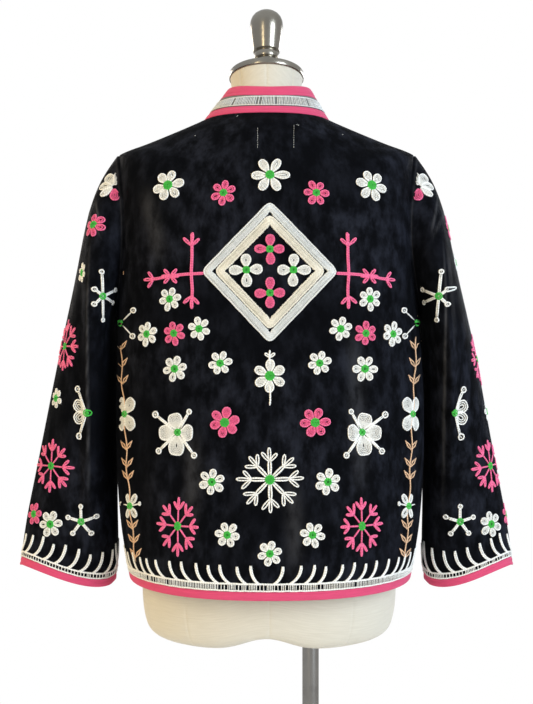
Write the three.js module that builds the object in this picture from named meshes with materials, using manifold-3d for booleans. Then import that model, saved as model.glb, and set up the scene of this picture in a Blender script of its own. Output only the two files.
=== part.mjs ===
// An embroidered velvet jacket on a limbless dress form with a pole and a round base.
// Units are millimetres and +Z is up. The jacket's front faces -Y and the wearer's left side is at +X.
// The origin is on the floor, midway between the two cuffs.
import * as THREE from 'three';
import Module from 'manifold-3d';
import { mergeVertices } from 'three/addons/utils/BufferGeometryUtils.js';

// Cloth thicknesses, and the space left between two pieces at a seam or a seat.
const VELVET = 2;
const BINDING = 3;
const SEAM = 0.3;

// Heights and widths that drive the jacket.
const HEM_Z = 858;
const BINDING_HEIGHT = 11;
const SHOULDER_TIP = { x: 194, z: 1412.5 };
const NECK_POINT = { x: 84.5, z: 1454.3 };
const FRONT_GAP_AT_NECK = 12;
const FRONT_GAP_AT_HEM = 64;

// Heights that drive the form and its stand.
const NECK_TOP_Z = 1514;
const NECK_TILT = THREE.MathUtils.degToRad(8.3);
const POLE = { x: -59, radius: 11, top: 830 };
const BASE = {
  radius: 190, rim: 6, rise: 14, riseRadius: 38, hubRadius: 19, hubFoot: 18, hubTop: 52, floor: 9,
};

// Profiles of the turned neck cap and finial, from the middle of the underside round to the top's middle.
const NECK_CAP = [
  { radius: 0, height: SEAM },
  { radius: 50, height: SEAM },
  { radius: 50, height: 7.5 },
  { radius: 49, height: 8.5 },
  { radius: 30, height: 13 },
  { radius: 16, height: 18 },
  { radius: 16, height: 19 },
  { radius: 0, height: 19 },
];
const FINIAL = [
  { radius: 0, height: 0 },
  { radius: 14.8, height: 0 },
  { radius: 14.8, height: 8 },
  { radius: 13.4, height: 9.2 },
  { radius: 16.7, height: 10.4 },
  { radius: 16.7, height: 17.6 },
  { radius: 15, height: 18.8 },
  { radius: 18, height: 20.4 },
  { radius: 20.5, height: 38.5 },
  { radius: 22.3, height: 53 },
  { radius: 22.2, height: 61 },
  { radius: 19.2, height: 69 },
  { radius: 13, height: 75 },
  { radius: 6, height: 78 },
  { radius: 0, height: 78.8 },
];

// How many columns of points each piece has across or round it.
const COLUMNS = {
  back: 22, front: 11, hem: 44, collar: 36, torso: 32, pole: 24, cap: 32, finial: 24, base: 48,
};

// Cross-sections of the jacket's body from hem to neck. Each is a rounded oblong: sideX is its half width,
// back and front are its depths, and the three heights let its back and front centres dip below its sides.
// power is 2 for an ellipse and more for a squarer section. sag lowers the corners behind the shoulders, and
// shift, where it is given, moves the section sideways.
const BODY = [
  { sideX: 180, sideZ: 858, back: 150, backZ: 858, front: 142, frontZ: 858, power: 2.3, sag: 0 },
  { sideX: 191, sideZ: 925, back: 147, backZ: 925, front: 139, frontZ: 925, power: 2.35, sag: 0 },
  { sideX: 196.5, sideZ: 1000, back: 142, backZ: 1000, front: 136, frontZ: 1000, power: 2.4, sag: 0 },
  { sideX: 197.5, sideZ: 1075, back: 136, backZ: 1075, front: 133, frontZ: 1075, power: 2.45, sag: 0 },
  { sideX: 196.5, sideZ: 1140, back: 131, backZ: 1140, front: 131, frontZ: 1140, power: 2.5, sag: 0 },
  { sideX: 194.5, sideZ: 1195, back: 127, backZ: 1195, front: 129, frontZ: 1195, power: 2.6, sag: 0 },
  { sideX: 192, sideZ: 1262, back: 124, backZ: 1257, front: 125, frontZ: 1250, power: 2.75, sag: 2 },
  { sideX: 191.5, sideZ: 1335, back: 120, backZ: 1318, front: 115, frontZ: 1302, power: 2.7, sag: 13 },
  { sideX: 194, sideZ: 1412.5, back: 112, backZ: 1372, front: 103, frontZ: 1346, power: 2.35, sag: 24 },
  { sideX: 157.5, sideZ: 1426.4, back: 100, backZ: 1409, front: 94, frontZ: 1374, power: 2.3, sag: 17 },
  { sideX: 121, sideZ: 1440.4, back: 84, backZ: 1436, front: 86, frontZ: 1395, power: 2.2, sag: 8 },
  { sideX: 84.5, sideZ: 1454.3, back: 66, backZ: 1452.5, front: 77, frontZ: 1411, power: 2.1, sag: 0 },
];
// How far the cloth is carried toward the wearer's right, and between which heights and places.
const FULLNESS = { by: 9.5, fullBelowZ: 1090, noneAboveZ: 1320, seamX: 200, sleeveX: 320 };
// How sharply the cloth falls away from the shoulder line: lower is sharper.
const SHOULDER_RIDGE = 1.3;
const ROUNDED_BY = 0.5;
const UNDERARM_ROW = 5;
const SHOULDER_ROW = 8;
const NECK_ROW = 11;
const HEM_BINDING_ROW = 0.225;

// The armhole is an oval in the body's own rows and angles: how far it opens toward the back and the front.
const ARMHOLE = { backAngle: 0.34, frontAngle: 0.31, steps: 12 };

// Soft upright folds of the body: angle round the body, first and last row, depth of the trough, half width.
const BODY_FOLDS = [
  { angle: 2.31, from: 1.6, to: 4.9, depth: 4, width: 0.11 },
  { angle: 0.86, from: 0.2, to: 3.6, depth: 3, width: 0.13 },
  { angle: -0.95, from: 0.4, to: 4.6, depth: 4, width: 0.13 },
  { angle: -2.2, from: 0.3, to: 4.2, depth: 3.5, width: 0.13 },
];

// Sections of a sleeve from the armhole to the cuff, by its outer line, its inner line and its depths. skew
// raises the outer half of each face and lowers the inner half.
const SLEEVE = [
  { outerX: 198.5, outerZ: 1411.5, innerX: 199, innerZ: 1196.3, back: 66, front: 62, skew: 0 },
  { outerX: 211, outerZ: 1393, innerX: 201, innerZ: 1189, back: 73, front: 67, skew: 0 },
  { outerX: 221, outerZ: 1374, innerX: 201.5, innerZ: 1176, back: 79, front: 72, skew: 0 },
  { outerX: 230, outerZ: 1349, innerX: 201.5, innerZ: 1158, back: 82, front: 74, skew: 0 },
  { outerX: 238, outerZ: 1318, innerX: 201.5, innerZ: 1134, back: 82, front: 74, skew: 0 },
  { outerX: 247, outerZ: 1276, innerX: 202, innerZ: 1104, back: 79, front: 72, skew: 0 },
  { outerX: 258, outerZ: 1225, innerX: 202, innerZ: 1068, back: 75, front: 69, skew: 0.5 },
  { outerX: 270.5, outerZ: 1168, innerX: 202, innerZ: 1027, back: 69, front: 64, skew: 1 },
  { outerX: 283, outerZ: 1109, innerX: 201.5, innerZ: 985, back: 63, front: 59, skew: 1.5 },
  { outerX: 295, outerZ: 1050, innerX: 201, innerZ: 943, back: 57, front: 54, skew: 2.5 },
  { outerX: 307, outerZ: 991, innerX: 200, innerZ: 904, back: 51, front: 49, skew: 3.5 },
  { outerX: 318.5, outerZ: 932, innerX: 200, innerZ: 874, back: 46, front: 45, skew: 4.5 },
  { outerX: 326.5, outerZ: 877, innerX: 202, innerZ: 856, back: 43, front: 42, skew: 5.5 },
  { outerX: 328, outerZ: 866, innerX: 203, innerZ: 845.5, back: 42, front: 41, skew: 5.5 },
];
const SLEEVE_LAST = SLEEVE.length - 1;
const SEAM_RISE = 4.5;
const SEAM_FADE_ROWS = 5;

// One long fold on each face of a sleeve: the cloth outside the fold lies behind the cloth inside it.
const SLEEVE_FOLDS = [
  { face: 1, topX: 220, bottomX: 230, depth: 9, width: 13 },
  { face: -1, topX: 222, bottomX: 238, depth: 5, width: 20 },
];
const FOLD_TOP_Z = 1370;
const FOLD_BOTTOM_Z = 900;

// The collar's three bands, as shares of its slant height, and the collar's top edge.
const COLLAR_TOP = {
  sideX: 54.5, sideZ: 1499, back: 49, backZ: 1491, front: 58, frontZ: 1450, power: 2.1, sag: 0, shift: -4,
};
const COLLAR_BANDS = [
  { name: 'collar_base_binding', from: 0.02, to: 0.26, thickness: BINDING, color: 0xd8487a },
  { name: 'collar_band', from: 0.275, to: 0.655, thickness: VELVET, color: 0xc9cfcc },
  { name: 'collar_top_binding', from: 0.67, to: 1, thickness: BINDING, color: 0xd8487a },
];

// Sections of the padded torso from its underside to the top of its neck, read like the body's.
const TORSO = [
  { sideX: 130, sideZ: 777, back: 80, backZ: 777, front: 72, frontZ: 777, power: 2.3, sag: 0, shift: -3.5 },
  { sideX: 154, sideZ: 785, back: 102, backZ: 785, front: 92, frontZ: 785, power: 2.3, sag: 0, shift: -3.5 },
  { sideX: 164, sideZ: 802, back: 112, backZ: 802, front: 101, frontZ: 802, power: 2.3, sag: 0, shift: -3.5 },
  { sideX: 168, sideZ: 838, back: 117, backZ: 838, front: 107, frontZ: 838, power: 2.3, sag: 0, shift: -3.5 },
  { sideX: 167, sideZ: 890, back: 119, backZ: 890, front: 108, frontZ: 890, power: 2.2, sag: 0, shift: -3 },
  { sideX: 150, sideZ: 975, back: 106, backZ: 975, front: 100, frontZ: 975, power: 2.2, sag: 0, shift: -2 },
  { sideX: 125, sideZ: 1065, back: 90, backZ: 1065, front: 92, frontZ: 1065, power: 2.2, sag: 0, shift: -1 },
  { sideX: 124, sideZ: 1125, back: 88, backZ: 1125, front: 96, frontZ: 1125, power: 2.2, sag: 0, shift: 0 },
  { sideX: 137, sideZ: 1210, back: 97, backZ: 1210, front: 113, frontZ: 1210, power: 2.2, sag: 0, shift: 0 },
  { sideX: 147, sideZ: 1280, back: 104, backZ: 1275, front: 109, frontZ: 1265, power: 2.4, sag: 2, shift: 0 },
  { sideX: 158, sideZ: 1350, back: 104, backZ: 1335, front: 94, frontZ: 1320, power: 2.5, sag: 14, shift: 0 },
  { sideX: 166, sideZ: 1400, back: 98, backZ: 1375, front: 86, frontZ: 1350, power: 2.3, sag: 26, shift: 0 },
  { sideX: 158, sideZ: 1427, back: 90, backZ: 1398, front: 79, frontZ: 1366, power: 2.2, sag: 30, shift: 0 },
  { sideX: 118, sideZ: 1444, back: 74, backZ: 1425, front: 70, frontZ: 1385, power: 2.1, sag: 18, shift: 0 },
  { sideX: 83, sideZ: 1459, back: 60, backZ: 1444, front: 62, frontZ: 1400, power: 2, sag: 6, shift: 0 },
  { sideX: 58, sideZ: 1480, back: 49.5, backZ: 1461, front: 52, frontZ: 1448, power: 2, sag: 0, shift: 0 },
  { sideX: 47.5, sideZ: 1499, back: 45.5, backZ: 1488, front: 46, frontZ: 1484, power: 2, sag: 0, shift: 0 },
  { sideX: 48.5, sideZ: 1514, back: 47, backZ: 1514, front: 47, frontZ: 1514, power: 2, sag: 0, shift: 0 },
];
const TORSO_SEAT_ROWS = { from: 12, to: 14 };
const SEAT_CLEARANCE = 0.5;
const NECK_LEAN_FROM_ROW = 14;
const LOBE_NOTCH = 17.5;
const LOBE_NOTCH_WIDTH = 37;

// Value of one column at a fractional row, on a smooth curve through the table's rows.
function smooth(table, name, row) {
  const last = table.length - 1;
  const i = Math.max(0, Math.min(Math.floor(row), last - 1));
  const f = row - i;
  const value = (k) => table[Math.max(0, Math.min(last, k))][name];
  const [a, b, c, d] = [value(i - 1), value(i), value(i + 1), value(i + 2)];
  return b + 0.5 * f * (c - a + f * (2 * a - 5 * b + 4 * c - d + f * (3 * (b - c) + d - a)));
}

// Goes from 0 to 1 between two values, gently at both ends.
function ease(value, from, to) {
  return THREE.MathUtils.smoothstep(value, Math.min(from, to), Math.max(from, to));
}

// Point at an angle round a rounded oblong section. Angle 0 is the left side and a quarter turn is the back.
function sectionPoint(section, angle) {
  const c = Math.cos(angle);
  const s = Math.sin(angle);
  const depth = s >= 0 ? section.back : section.front;
  const middleZ = s >= 0 ? section.backZ : section.frontZ;
  const { power } = section;
  const sum = Math.abs(c / section.sideX) ** power + Math.abs(s / depth) ** power;
  const reach = sum ** (-1 / power);
  const dip = section.sag * Math.abs(Math.sin(2 * angle)) ** (SHOULDER_RIDGE + s * s);
  const z = section.sideZ + (middleZ - section.sideZ) * s * s - dip;
  return new THREE.Vector3(reach * c + (section.shift ?? 0), reach * s, z);
}

// The section of a table at a fractional row.
function sectionAt(table, row) {
  const section = {};
  for (const name of Object.keys(table[0])) section[name] = smooth(table, name, row);
  return section;
}

// The section of the jacket's body at a row. Its shoulder line is straight from the tip to the neck.
function bodySection(row) {
  const section = sectionAt(BODY, row);
  if (row > SHOULDER_ROW) {
    const share = (row - SHOULDER_ROW) / (NECK_ROW - SHOULDER_ROW);
    section.sideX = THREE.MathUtils.lerp(SHOULDER_TIP.x, NECK_POINT.x, share);
    section.sideZ = THREE.MathUtils.lerp(SHOULDER_TIP.z, NECK_POINT.z, share);
  } else if (row > SHOULDER_ROW - 1) {
    const share = row - SHOULDER_ROW + 1;
    const below = BODY[SHOULDER_ROW - 1];
    section.sideX = THREE.MathUtils.lerp(below.sideX, SHOULDER_TIP.x, share * share);
    section.sideZ = THREE.MathUtils.lerp(below.sideZ, SHOULDER_TIP.z, share);
  }
  return section;
}

// Point of the jacket's body, with its soft folds, at an angle and a row. The corner at the shoulder's tip
// belongs to the side line only, and the cloth behind and before it rounds over.
function bodyPoint(angle, row) {
  const rounded = ease(Math.abs(Math.sin(angle)), 0, ROUNDED_BY);
  const point = sectionPoint(bodySection(row), angle);
  point.lerp(sectionPoint(sectionAt(BODY, row), angle), rounded);
  for (const fold of BODY_FOLDS) {
    const across = Math.exp(-(((angle - fold.angle) / fold.width) ** 2));
    const middle = (fold.from + fold.to) / 2;
    const along = ease(row, fold.from, middle) * (1 - ease(row, middle, fold.to));
    const reach = Math.hypot(point.x, point.y);
    const share = 1 - (fold.depth * across * along) / reach;
    point.x *= share;
    point.y *= share;
  }
  return point;
}

// The jacket hangs a little fuller on the wearer's right: below the chest its cloth is carried outward, more
// and more from the left side seam to the right one, and less again across the right sleeve.
function settled(point) {
  const low = 1 - ease(point.z, FULLNESS.fullBelowZ, FULLNESS.noneAboveZ);
  const across = THREE.MathUtils.clamp((FULLNESS.seamX - point.x) / (2 * FULLNESS.seamX), 0, 1);
  const sleeve = 1 - ease(-point.x, FULLNESS.seamX, FULLNESS.sleeveX);
  point.x -= FULLNESS.by * low * across * sleeve;
  return point;
}

// Unit vector out of a surface point(a, b), from small steps each way.
function normalOf(point, a, b) {
  const step = 0.004;
  const alongA = point(a + step, b).sub(point(a - step, b));
  const alongB = point(a, b + step).sub(point(a, b - step));
  return alongA.cross(alongB).normalize();
}

// How far the armhole's edge lies from the side line, as an angle, at a row of the body.
function armholeAngle(row, widest) {
  const middle = (UNDERARM_ROW + SHOULDER_ROW) / 2;
  const half = (SHOULDER_ROW - UNDERARM_ROW) / 2;
  const share = (row - middle) / half;
  return Math.abs(share) < 1 ? widest * Math.sqrt(1 - share * share) : 0;
}

// Rows of the body at which its panels have points, closer together at the armhole's ends.
const LOWER_ROWS = [HEM_BINDING_ROW, 0.7, 1.3, 2, 2.7, 3.4, 4.2];
const SHOULDER_STEPS = 6;
function bodyRows() {
  const rows = [...LOWER_ROWS];
  const middle = (UNDERARM_ROW + SHOULDER_ROW) / 2;
  const half = (SHOULDER_ROW - UNDERARM_ROW) / 2;
  for (let i = 0; i <= ARMHOLE.steps; i++) {
    rows.push(middle - half * Math.cos((Math.PI * i) / ARMHOLE.steps));
  }
  for (let i = 1; i <= SHOULDER_STEPS; i++) {
    rows.push(SHOULDER_ROW + ((NECK_ROW - SHOULDER_ROW) * i) / SHOULDER_STEPS);
  }
  return rows;
}

// A wall of even thickness about a grid of middle points with their normals, closed at its edges.
function wall(grid, thickness, closed) {
  const columns = grid[0].length;
  const middle = grid.flat();
  const outer = [];
  for (let r = 0; r + 1 < grid.length; r++) {
    for (let c = 0; c < (closed ? columns : columns - 1); c++) {
      const next = (c + 1) % columns;
      const [a, b] = [r * columns + c, r * columns + next];
      const [d, e] = [a + columns, b + columns];
      outer.push([a, b, e], [a, e, d]);
    }
  }
  const edges = new Set(outer.flatMap(([a, b, c]) => [`${a},${b}`, `${b},${c}`, `${c},${a}`]));
  const count = middle.length;
  const triangles = outer.concat(outer.map(([a, b, c]) => [a + count, c + count, b + count]));
  for (const edge of edges) {
    const [a, b] = edge.split(',').map(Number);
    if (!edges.has(`${b},${a}`)) triangles.push([b, a, a + count], [b, a + count, b + count]);
  }
  const half = thickness / 2;
  const shifted = (sign) => middle.map((m) => m.point.clone().addScaledVector(m.normal, sign * half));
  return solid([...shifted(1), ...shifted(-1)], triangles);
}

// A closed geometry from points and triangles, turned so that its faces point out.
function solid(points, triangles) {
  let volume = 0;
  for (const [a, b, c] of triangles) {
    volume += points[a].dot(points[b].clone().cross(points[c]));
  }
  const facing = volume > 0 ? triangles : triangles.map(([a, b, c]) => [a, c, b]);
  const geometry = new THREE.BufferGeometry();
  geometry.setAttribute('position', new THREE.Float32BufferAttribute(points.flatMap((p) => p.toArray()), 3));
  geometry.setIndex(facing.flat());
  geometry.computeVertexNormals();
  return geometry;
}

// A grid of middle points and normals over a surface, its first and last columns drawn in by a seam's half.
function panelGrid(point, rows, edgeAngles, columns) {
  return rows.map((row) => {
    const [from, to] = edgeAngles(row);
    const cells = [];
    for (let c = 0; c <= columns; c++) {
      const angle = THREE.MathUtils.lerp(from, to, c / columns);
      cells.push({ point: point(angle, row), normal: normalOf(point, angle, row) });
    }
    drawIn(cells[0], cells[1]);
    drawIn(cells[columns], cells[columns - 1]);
    return cells;
  });
}

// Moves an edge cell half a seam toward its inner neighbour.
function drawIn(edge, inner) {
  const toward = inner.point.clone().sub(edge.point).normalize();
  edge.point.addScaledVector(toward, SEAM / 2);
}

// Angle at which a body section reaches a distance x from the middle of the front.
function frontAngleAt(x, row) {
  return -Math.PI / 2 + Math.asin(x / bodySection(row).front);
}

// Half of the front gap at a row: narrow at the neck and wider at the hem.
function frontEdgeX(row) {
  return THREE.MathUtils.lerp(FRONT_GAP_AT_HEM, FRONT_GAP_AT_NECK, row / NECK_ROW) / 2;
}

function backPanel() {
  const edges = (row) => {
    const open = armholeAngle(row, ARMHOLE.backAngle);
    return [open, Math.PI - open];
  };
  const point = (angle, row) => settled(bodyPoint(angle, row));
  return wall(panelGrid(point, bodyRows(), edges, COLUMNS.back), VELVET, false);
}

// A front panel, from its inner line beside the front binding to the side seam or armhole.
function frontPanel(side) {
  const point = (angle, row) => placed(bodyPoint(angle, row), side);
  const edges = (row) => {
    const open = armholeAngle(row, ARMHOLE.frontAngle);
    return [frontAngleAt(frontEdgeX(row) + BINDING_HEIGHT, row), -open];
  };
  return wall(panelGrid(point, bodyRows(), edges, COLUMNS.front), VELVET, false);
}

// Point of the jacket in its place: the wearer's right side, where side is -1, mirrors the left.
function placed(point, side) {
  point.x *= side;
  return settled(point);
}

// The binding of one front edge, from the hem to the neck.
function frontBinding(side) {
  const point = (angle, row) => placed(bodyPoint(angle, row), side);
  const rows = bodyRows().filter((row, i) => i % 2 === 0);
  rows[0] = 0;
  const edges = (row) => {
    const edge = frontEdgeX(row);
    return [frontAngleAt(edge, row), frontAngleAt(edge + BINDING_HEIGHT, row)];
  };
  return wall(panelGrid(point, rows, edges, 1), BINDING, false);
}

// The hem binding, in one strip from one front binding round the back to the other.
function hemBinding() {
  const rows = [0, HEM_BINDING_ROW - SEAM / (BODY[1].sideZ - HEM_Z)];
  const edges = (row) => {
    const front = frontAngleAt(frontEdgeX(row) + BINDING_HEIGHT, row);
    return [front, Math.PI - front];
  };
  const point = (angle, row) => settled(bodyPoint(angle, row));
  return wall(panelGrid(point, rows, edges, COLUMNS.hem), BINDING, false);
}

// Point of the collar at an angle and a share of its slant height.
function collarPoint(angle, share) {
  return sectionPoint(BODY[NECK_ROW], angle).lerp(sectionPoint(COLLAR_TOP, angle), share);
}

function collarBand(band) {
  const front = -Math.PI / 2 + Math.asin(FRONT_GAP_AT_NECK / 2 / COLLAR_TOP.front);
  const edges = () => [front, Math.PI - front];
  return wall(panelGrid(collarPoint, [band.from, band.to], edges, COLUMNS.collar), band.thickness, false);
}

// Point of the armhole's edge. Turn 0 is the shoulder, a quarter turn the back and a half turn the underarm.
function armholePoint(turn) {
  const middle = (UNDERARM_ROW + SHOULDER_ROW) / 2;
  const half = (SHOULDER_ROW - UNDERARM_ROW) / 2;
  const widest = Math.sin(turn) >= 0 ? ARMHOLE.backAngle : ARMHOLE.frontAngle;
  return { angle: widest * Math.sin(turn), row: middle + half * Math.cos(turn) };
}

// Point where a sleeve starts: inside the armhole's edge, clear of the body's wall by a seam.
function sleeveStart(turn) {
  const step = 0.01;
  const { angle, row } = armholePoint(turn);
  const at = (value) => {
    const edge = armholePoint(value);
    return bodyPoint(edge.angle, edge.row);
  };
  const along = at(turn + step).sub(at(turn - step)).normalize();
  const outward = normalOf(bodyPoint, angle, row);
  const inward = along.clone().cross(outward).normalize();
  const centre = bodyPoint(0, (UNDERARM_ROW + SHOULDER_ROW) / 2);
  if (inward.dot(centre.clone().sub(at(turn))) < 0) inward.negate();
  const sleeveNormal = along.clone().cross(new THREE.Vector3(1, 0, 0)).normalize();
  const clearance = SEAM + (VELVET / 2) * Math.abs(sleeveNormal.dot(inward));
  return at(turn).addScaledVector(inward, clearance);
}

// Point of a sleeve's plain oval section at a row of its table.
function sleeveOval(turn, row) {
  const section = sectionAt(SLEEVE, row);
  const depth = Math.sin(turn) >= 0 ? section.back : section.front;
  const along = (1 + Math.cos(turn)) / 2;
  const face = Math.abs(Math.sin(turn));
  const rise = 2 * face * Math.cos(turn) * ease(face, 0, 0.4);
  return new THREE.Vector3(
    THREE.MathUtils.lerp(section.innerX, section.outerX, along),
    depth * Math.sin(turn),
    THREE.MathUtils.lerp(section.innerZ, section.outerZ, along) + section.skew * rise,
  );
}

// Point of the left sleeve. Row -1 is the seam, row 0 its rise off the body, and the last row the cuff's end.
function sleevePoint(turn, row) {
  const start = sleeveStart(turn);
  start.x += SEAM_RISE * Math.min(1, row + 1);
  if (row <= 0) return start;
  const point = sleeveOval(turn, row);
  const left = 1 - ease(row, 0, SEAM_FADE_ROWS);
  point.addScaledVector(start.sub(sleeveOval(turn, 0)), left);
  for (const fold of SLEEVE_FOLDS) {
    const face = Math.max(0, fold.face * Math.sin(turn));
    const down = (FOLD_TOP_Z - point.z) / (FOLD_TOP_Z - FOLD_BOTTOM_Z);
    const foldX = THREE.MathUtils.lerp(fold.topX, fold.bottomX, down);
    const beyond = ease(point.x, foldX, foldX + fold.width);
    const present = ease(down, 0, 0.3) * (1 - ease(down, 0.75, 1.05));
    point.y -= fold.face * fold.depth * beyond * present * Math.min(1, face * 2);
  }
  return point;
}

// A ring-shaped wall of a sleeve between rows of its table.
function sleeveWall(side, rows, thickness) {
  const columns = ARMHOLE.steps * 2;
  const point = (turn, row) => placed(sleevePoint(turn, row), side);
  const grid = rows.map((row) => {
    const cells = [];
    for (let c = 0; c < columns; c++) {
      const turn = (2 * Math.PI * c) / columns;
      cells.push({ point: point(turn, row), normal: normalOf(point, turn, Math.max(row, -0.99)) });
    }
    return cells;
  });
  return wall(grid, thickness, true);
}

function sleeve(side) {
  const rows = [-1];
  for (let row = 0; row < SLEEVE_LAST; row++) rows.push(row);
  return sleeveWall(side, rows, VELVET);
}

function cuffBinding(side) {
  const start = SLEEVE_LAST - 1 + SEAM / BINDING_HEIGHT;
  return sleeveWall(side, [start, SLEEVE_LAST], BINDING);
}

// Point of the torso. Its underside rises in a notch between two lobes.
function torsoPoint(angle, row) {
  const section = sectionAt(TORSO, row);
  if (row >= TORSO_SEAT_ROWS.from && row <= TORSO_SEAT_ROWS.to) {
    const slope = (NECK_POINT.z - SHOULDER_TIP.z) / (SHOULDER_TIP.x - NECK_POINT.x);
    const down = (VELVET / 2 + SEAT_CLEARANCE) * Math.hypot(1, slope);
    section.sideZ = NECK_POINT.z - (section.sideX - NECK_POINT.x) * slope - down;
  }
  const point = sectionPoint(section, angle);
  const underside = 1 - ease(row, 0, 3);
  point.z += LOBE_NOTCH * underside * Math.exp(-((point.x / LOBE_NOTCH_WIDTH) ** 2));
  point.z += point.y * Math.tan(NECK_TILT) * ease(row, NECK_LEAN_FROM_ROW, TORSO.length - 1);
  return point;
}

// The torso: rings from its underside to its neck, closed by a fan at each end, with a socket for the pole.
function torso() {
  const columns = COLUMNS.torso;
  const points = [];
  const triangles = [];
  TORSO.forEach((section, row) => {
    for (let c = 0; c < columns; c++) points.push(torsoPoint((2 * Math.PI * c) / columns, row));
  });
  const ring = (row, c) => row * columns + (c % columns);
  for (let row = 0; row + 1 < TORSO.length; row++) {
    for (let c = 0; c < columns; c++) {
      triangles.push([ring(row, c), ring(row, c + 1), ring(row + 1, c + 1)]);
      triangles.push([ring(row, c), ring(row + 1, c + 1), ring(row + 1, c)]);
    }
  }
  const bottom = points.push(new THREE.Vector3(0, 0, TORSO[0].sideZ + LOBE_NOTCH)) - 1;
  const top = points.push(new THREE.Vector3(0, 0, NECK_TOP_Z)) - 1;
  for (let c = 0; c < columns; c++) {
    triangles.push([bottom, ring(0, c + 1), ring(0, c)]);
    triangles.push([top, ring(TORSO.length - 1, c), ring(TORSO.length - 1, c + 1)]);
  }
  const socket = new THREE.CylinderGeometry(POLE.radius + SEAM, POLE.radius + SEAM, POLE.top, COLUMNS.pole);
  socket.rotateX(Math.PI / 2);
  socket.translate(POLE.x, 0, POLE.top / 2 + SEAM);
  return subtract(solid(points, triangles), socket);
}

const wasm = await Module();
wasm.setup();

// A manifold-3d solid of a closed geometry.
function toManifold(geometry) {
  const bare = geometry.clone();
  bare.deleteAttribute('normal');
  bare.deleteAttribute('uv');
  const merged = mergeVertices(bare);
  const vertProperties = new Float32Array(merged.attributes.position.array);
  const triVerts = new Uint32Array(merged.index.array);
  return new wasm.Manifold(new wasm.Mesh({ numProp: 3, vertProperties, triVerts }));
}

function subtract(from, cutter) {
  const mesh = toManifold(from).subtract(toManifold(cutter)).getMesh();
  const geometry = new THREE.BufferGeometry();
  geometry.setAttribute('position', new THREE.BufferAttribute(mesh.vertProperties.slice(), 3));
  geometry.setIndex(Array.from(mesh.triVerts));
  geometry.computeVertexNormals();
  return geometry;
}

// A body turned about the Z axis, from a profile of radii and heights.
function lathe(profile, segments) {
  const outline = profile.map(({ radius, height }) => new THREE.Vector2(radius, height));
  return new THREE.LatheGeometry(outline, segments).rotateX(Math.PI / 2);
}

const group = new THREE.Group();

function material(color, roughness, metalness) {
  return new THREE.MeshStandardMaterial({ color, roughness, metalness });
}

function add(name, geometry, look, parent = group) {
  const mesh = new THREE.Mesh(geometry, look);
  mesh.name = name;
  parent.add(mesh);
  return mesh;
}

// The jacket.
const velvet = material(0x14151c, 0.85, 0);
const pink = material(0xd8487a, 0.75, 0);
add('back', backPanel(), velvet);
for (const [name, side] of [['left', 1], ['right', -1]]) {
  add(`front_${name}`, frontPanel(side), velvet.clone());
  add(`sleeve_${name}`, sleeve(side), velvet.clone());
  add(`front_binding_${name}`, frontBinding(side), pink.clone());
  add(`cuff_binding_${name}`, cuffBinding(side), pink.clone());
}
add('hem_binding', hemBinding(), pink);
for (const band of COLLAR_BANDS) add(band.name, collarBand(band), material(band.color, 0.75, 0));

// The form: torso, and the neck cap and finial that lean forward with the neck.
add('torso', torso(), material(0xcfc4ac, 0.9, 0));
const neckTop = new THREE.Group();
neckTop.position.z = NECK_TOP_Z;
neckTop.rotation.x = NECK_TILT;
group.add(neckTop);
add('neck_cap', lathe(NECK_CAP, COLUMNS.cap), material(0xb9b7b2, 0.35, 1), neckTop);
const finial = add('finial', lathe(FINIAL, COLUMNS.finial), material(0xb9b7b2, 0.35, 1), neckTop);
finial.position.z = NECK_CAP.at(-1).height + SEAM;

// The stand: a steel pole in the hub of a round steel base.
const steel = material(0xb4b4b4, 0.4, 1);
const poleBottom = BASE.floor + SEAM;
const poleShape = new THREE.CylinderGeometry(POLE.radius, POLE.radius, POLE.top - poleBottom, COLUMNS.pole);
const pole = add('pole', poleShape.rotateX(Math.PI / 2), steel);
pole.position.set(POLE.x, 0, (POLE.top + poleBottom) / 2);
const bore = POLE.radius + SEAM;
const baseProfile = [
  { radius: 0, height: 0 },
  { radius: BASE.radius, height: 0 },
  { radius: BASE.radius, height: BASE.rim },
  { radius: BASE.riseRadius, height: BASE.rise },
  { radius: BASE.hubRadius, height: BASE.hubFoot },
  { radius: BASE.hubRadius, height: BASE.hubTop },
  { radius: bore, height: BASE.hubTop },
  { radius: bore, height: BASE.floor },
  { radius: 0, height: BASE.floor },
];
const base = add('base', lathe(baseProfile, COLUMNS.base), steel.clone());
base.position.x = POLE.x;

export default group;
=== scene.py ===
import math

import bpy
import numpy as np
from mathutils import Matrix, Vector


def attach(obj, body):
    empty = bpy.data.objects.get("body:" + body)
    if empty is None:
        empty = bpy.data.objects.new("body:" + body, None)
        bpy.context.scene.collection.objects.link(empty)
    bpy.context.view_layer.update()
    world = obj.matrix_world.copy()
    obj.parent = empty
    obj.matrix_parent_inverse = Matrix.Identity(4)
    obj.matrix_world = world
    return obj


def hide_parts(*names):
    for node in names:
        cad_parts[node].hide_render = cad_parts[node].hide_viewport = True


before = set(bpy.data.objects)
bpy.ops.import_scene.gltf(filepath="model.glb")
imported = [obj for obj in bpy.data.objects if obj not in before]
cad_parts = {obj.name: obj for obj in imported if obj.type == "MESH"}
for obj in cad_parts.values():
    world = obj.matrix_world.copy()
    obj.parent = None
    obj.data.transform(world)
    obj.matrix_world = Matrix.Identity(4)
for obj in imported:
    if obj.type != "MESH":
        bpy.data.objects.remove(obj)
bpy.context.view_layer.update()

# The studio: a pale floor and a white surround, a warm soft light and a narrow warm strip on one side, a
# cooler light on the other and two smaller ones in front. The camera stands behind the jacket, level with its
# middle.
scene = bpy.context.scene
scene.view_settings.view_transform = "Standard"
MIDDLE = Vector((0, 0, 1.150))
EYE_DISTANCE = 1.200
FRAME_HEIGHT = 0.9434
SENSOR = 36.0
FLOOR_RADIUS = 1.45


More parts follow.
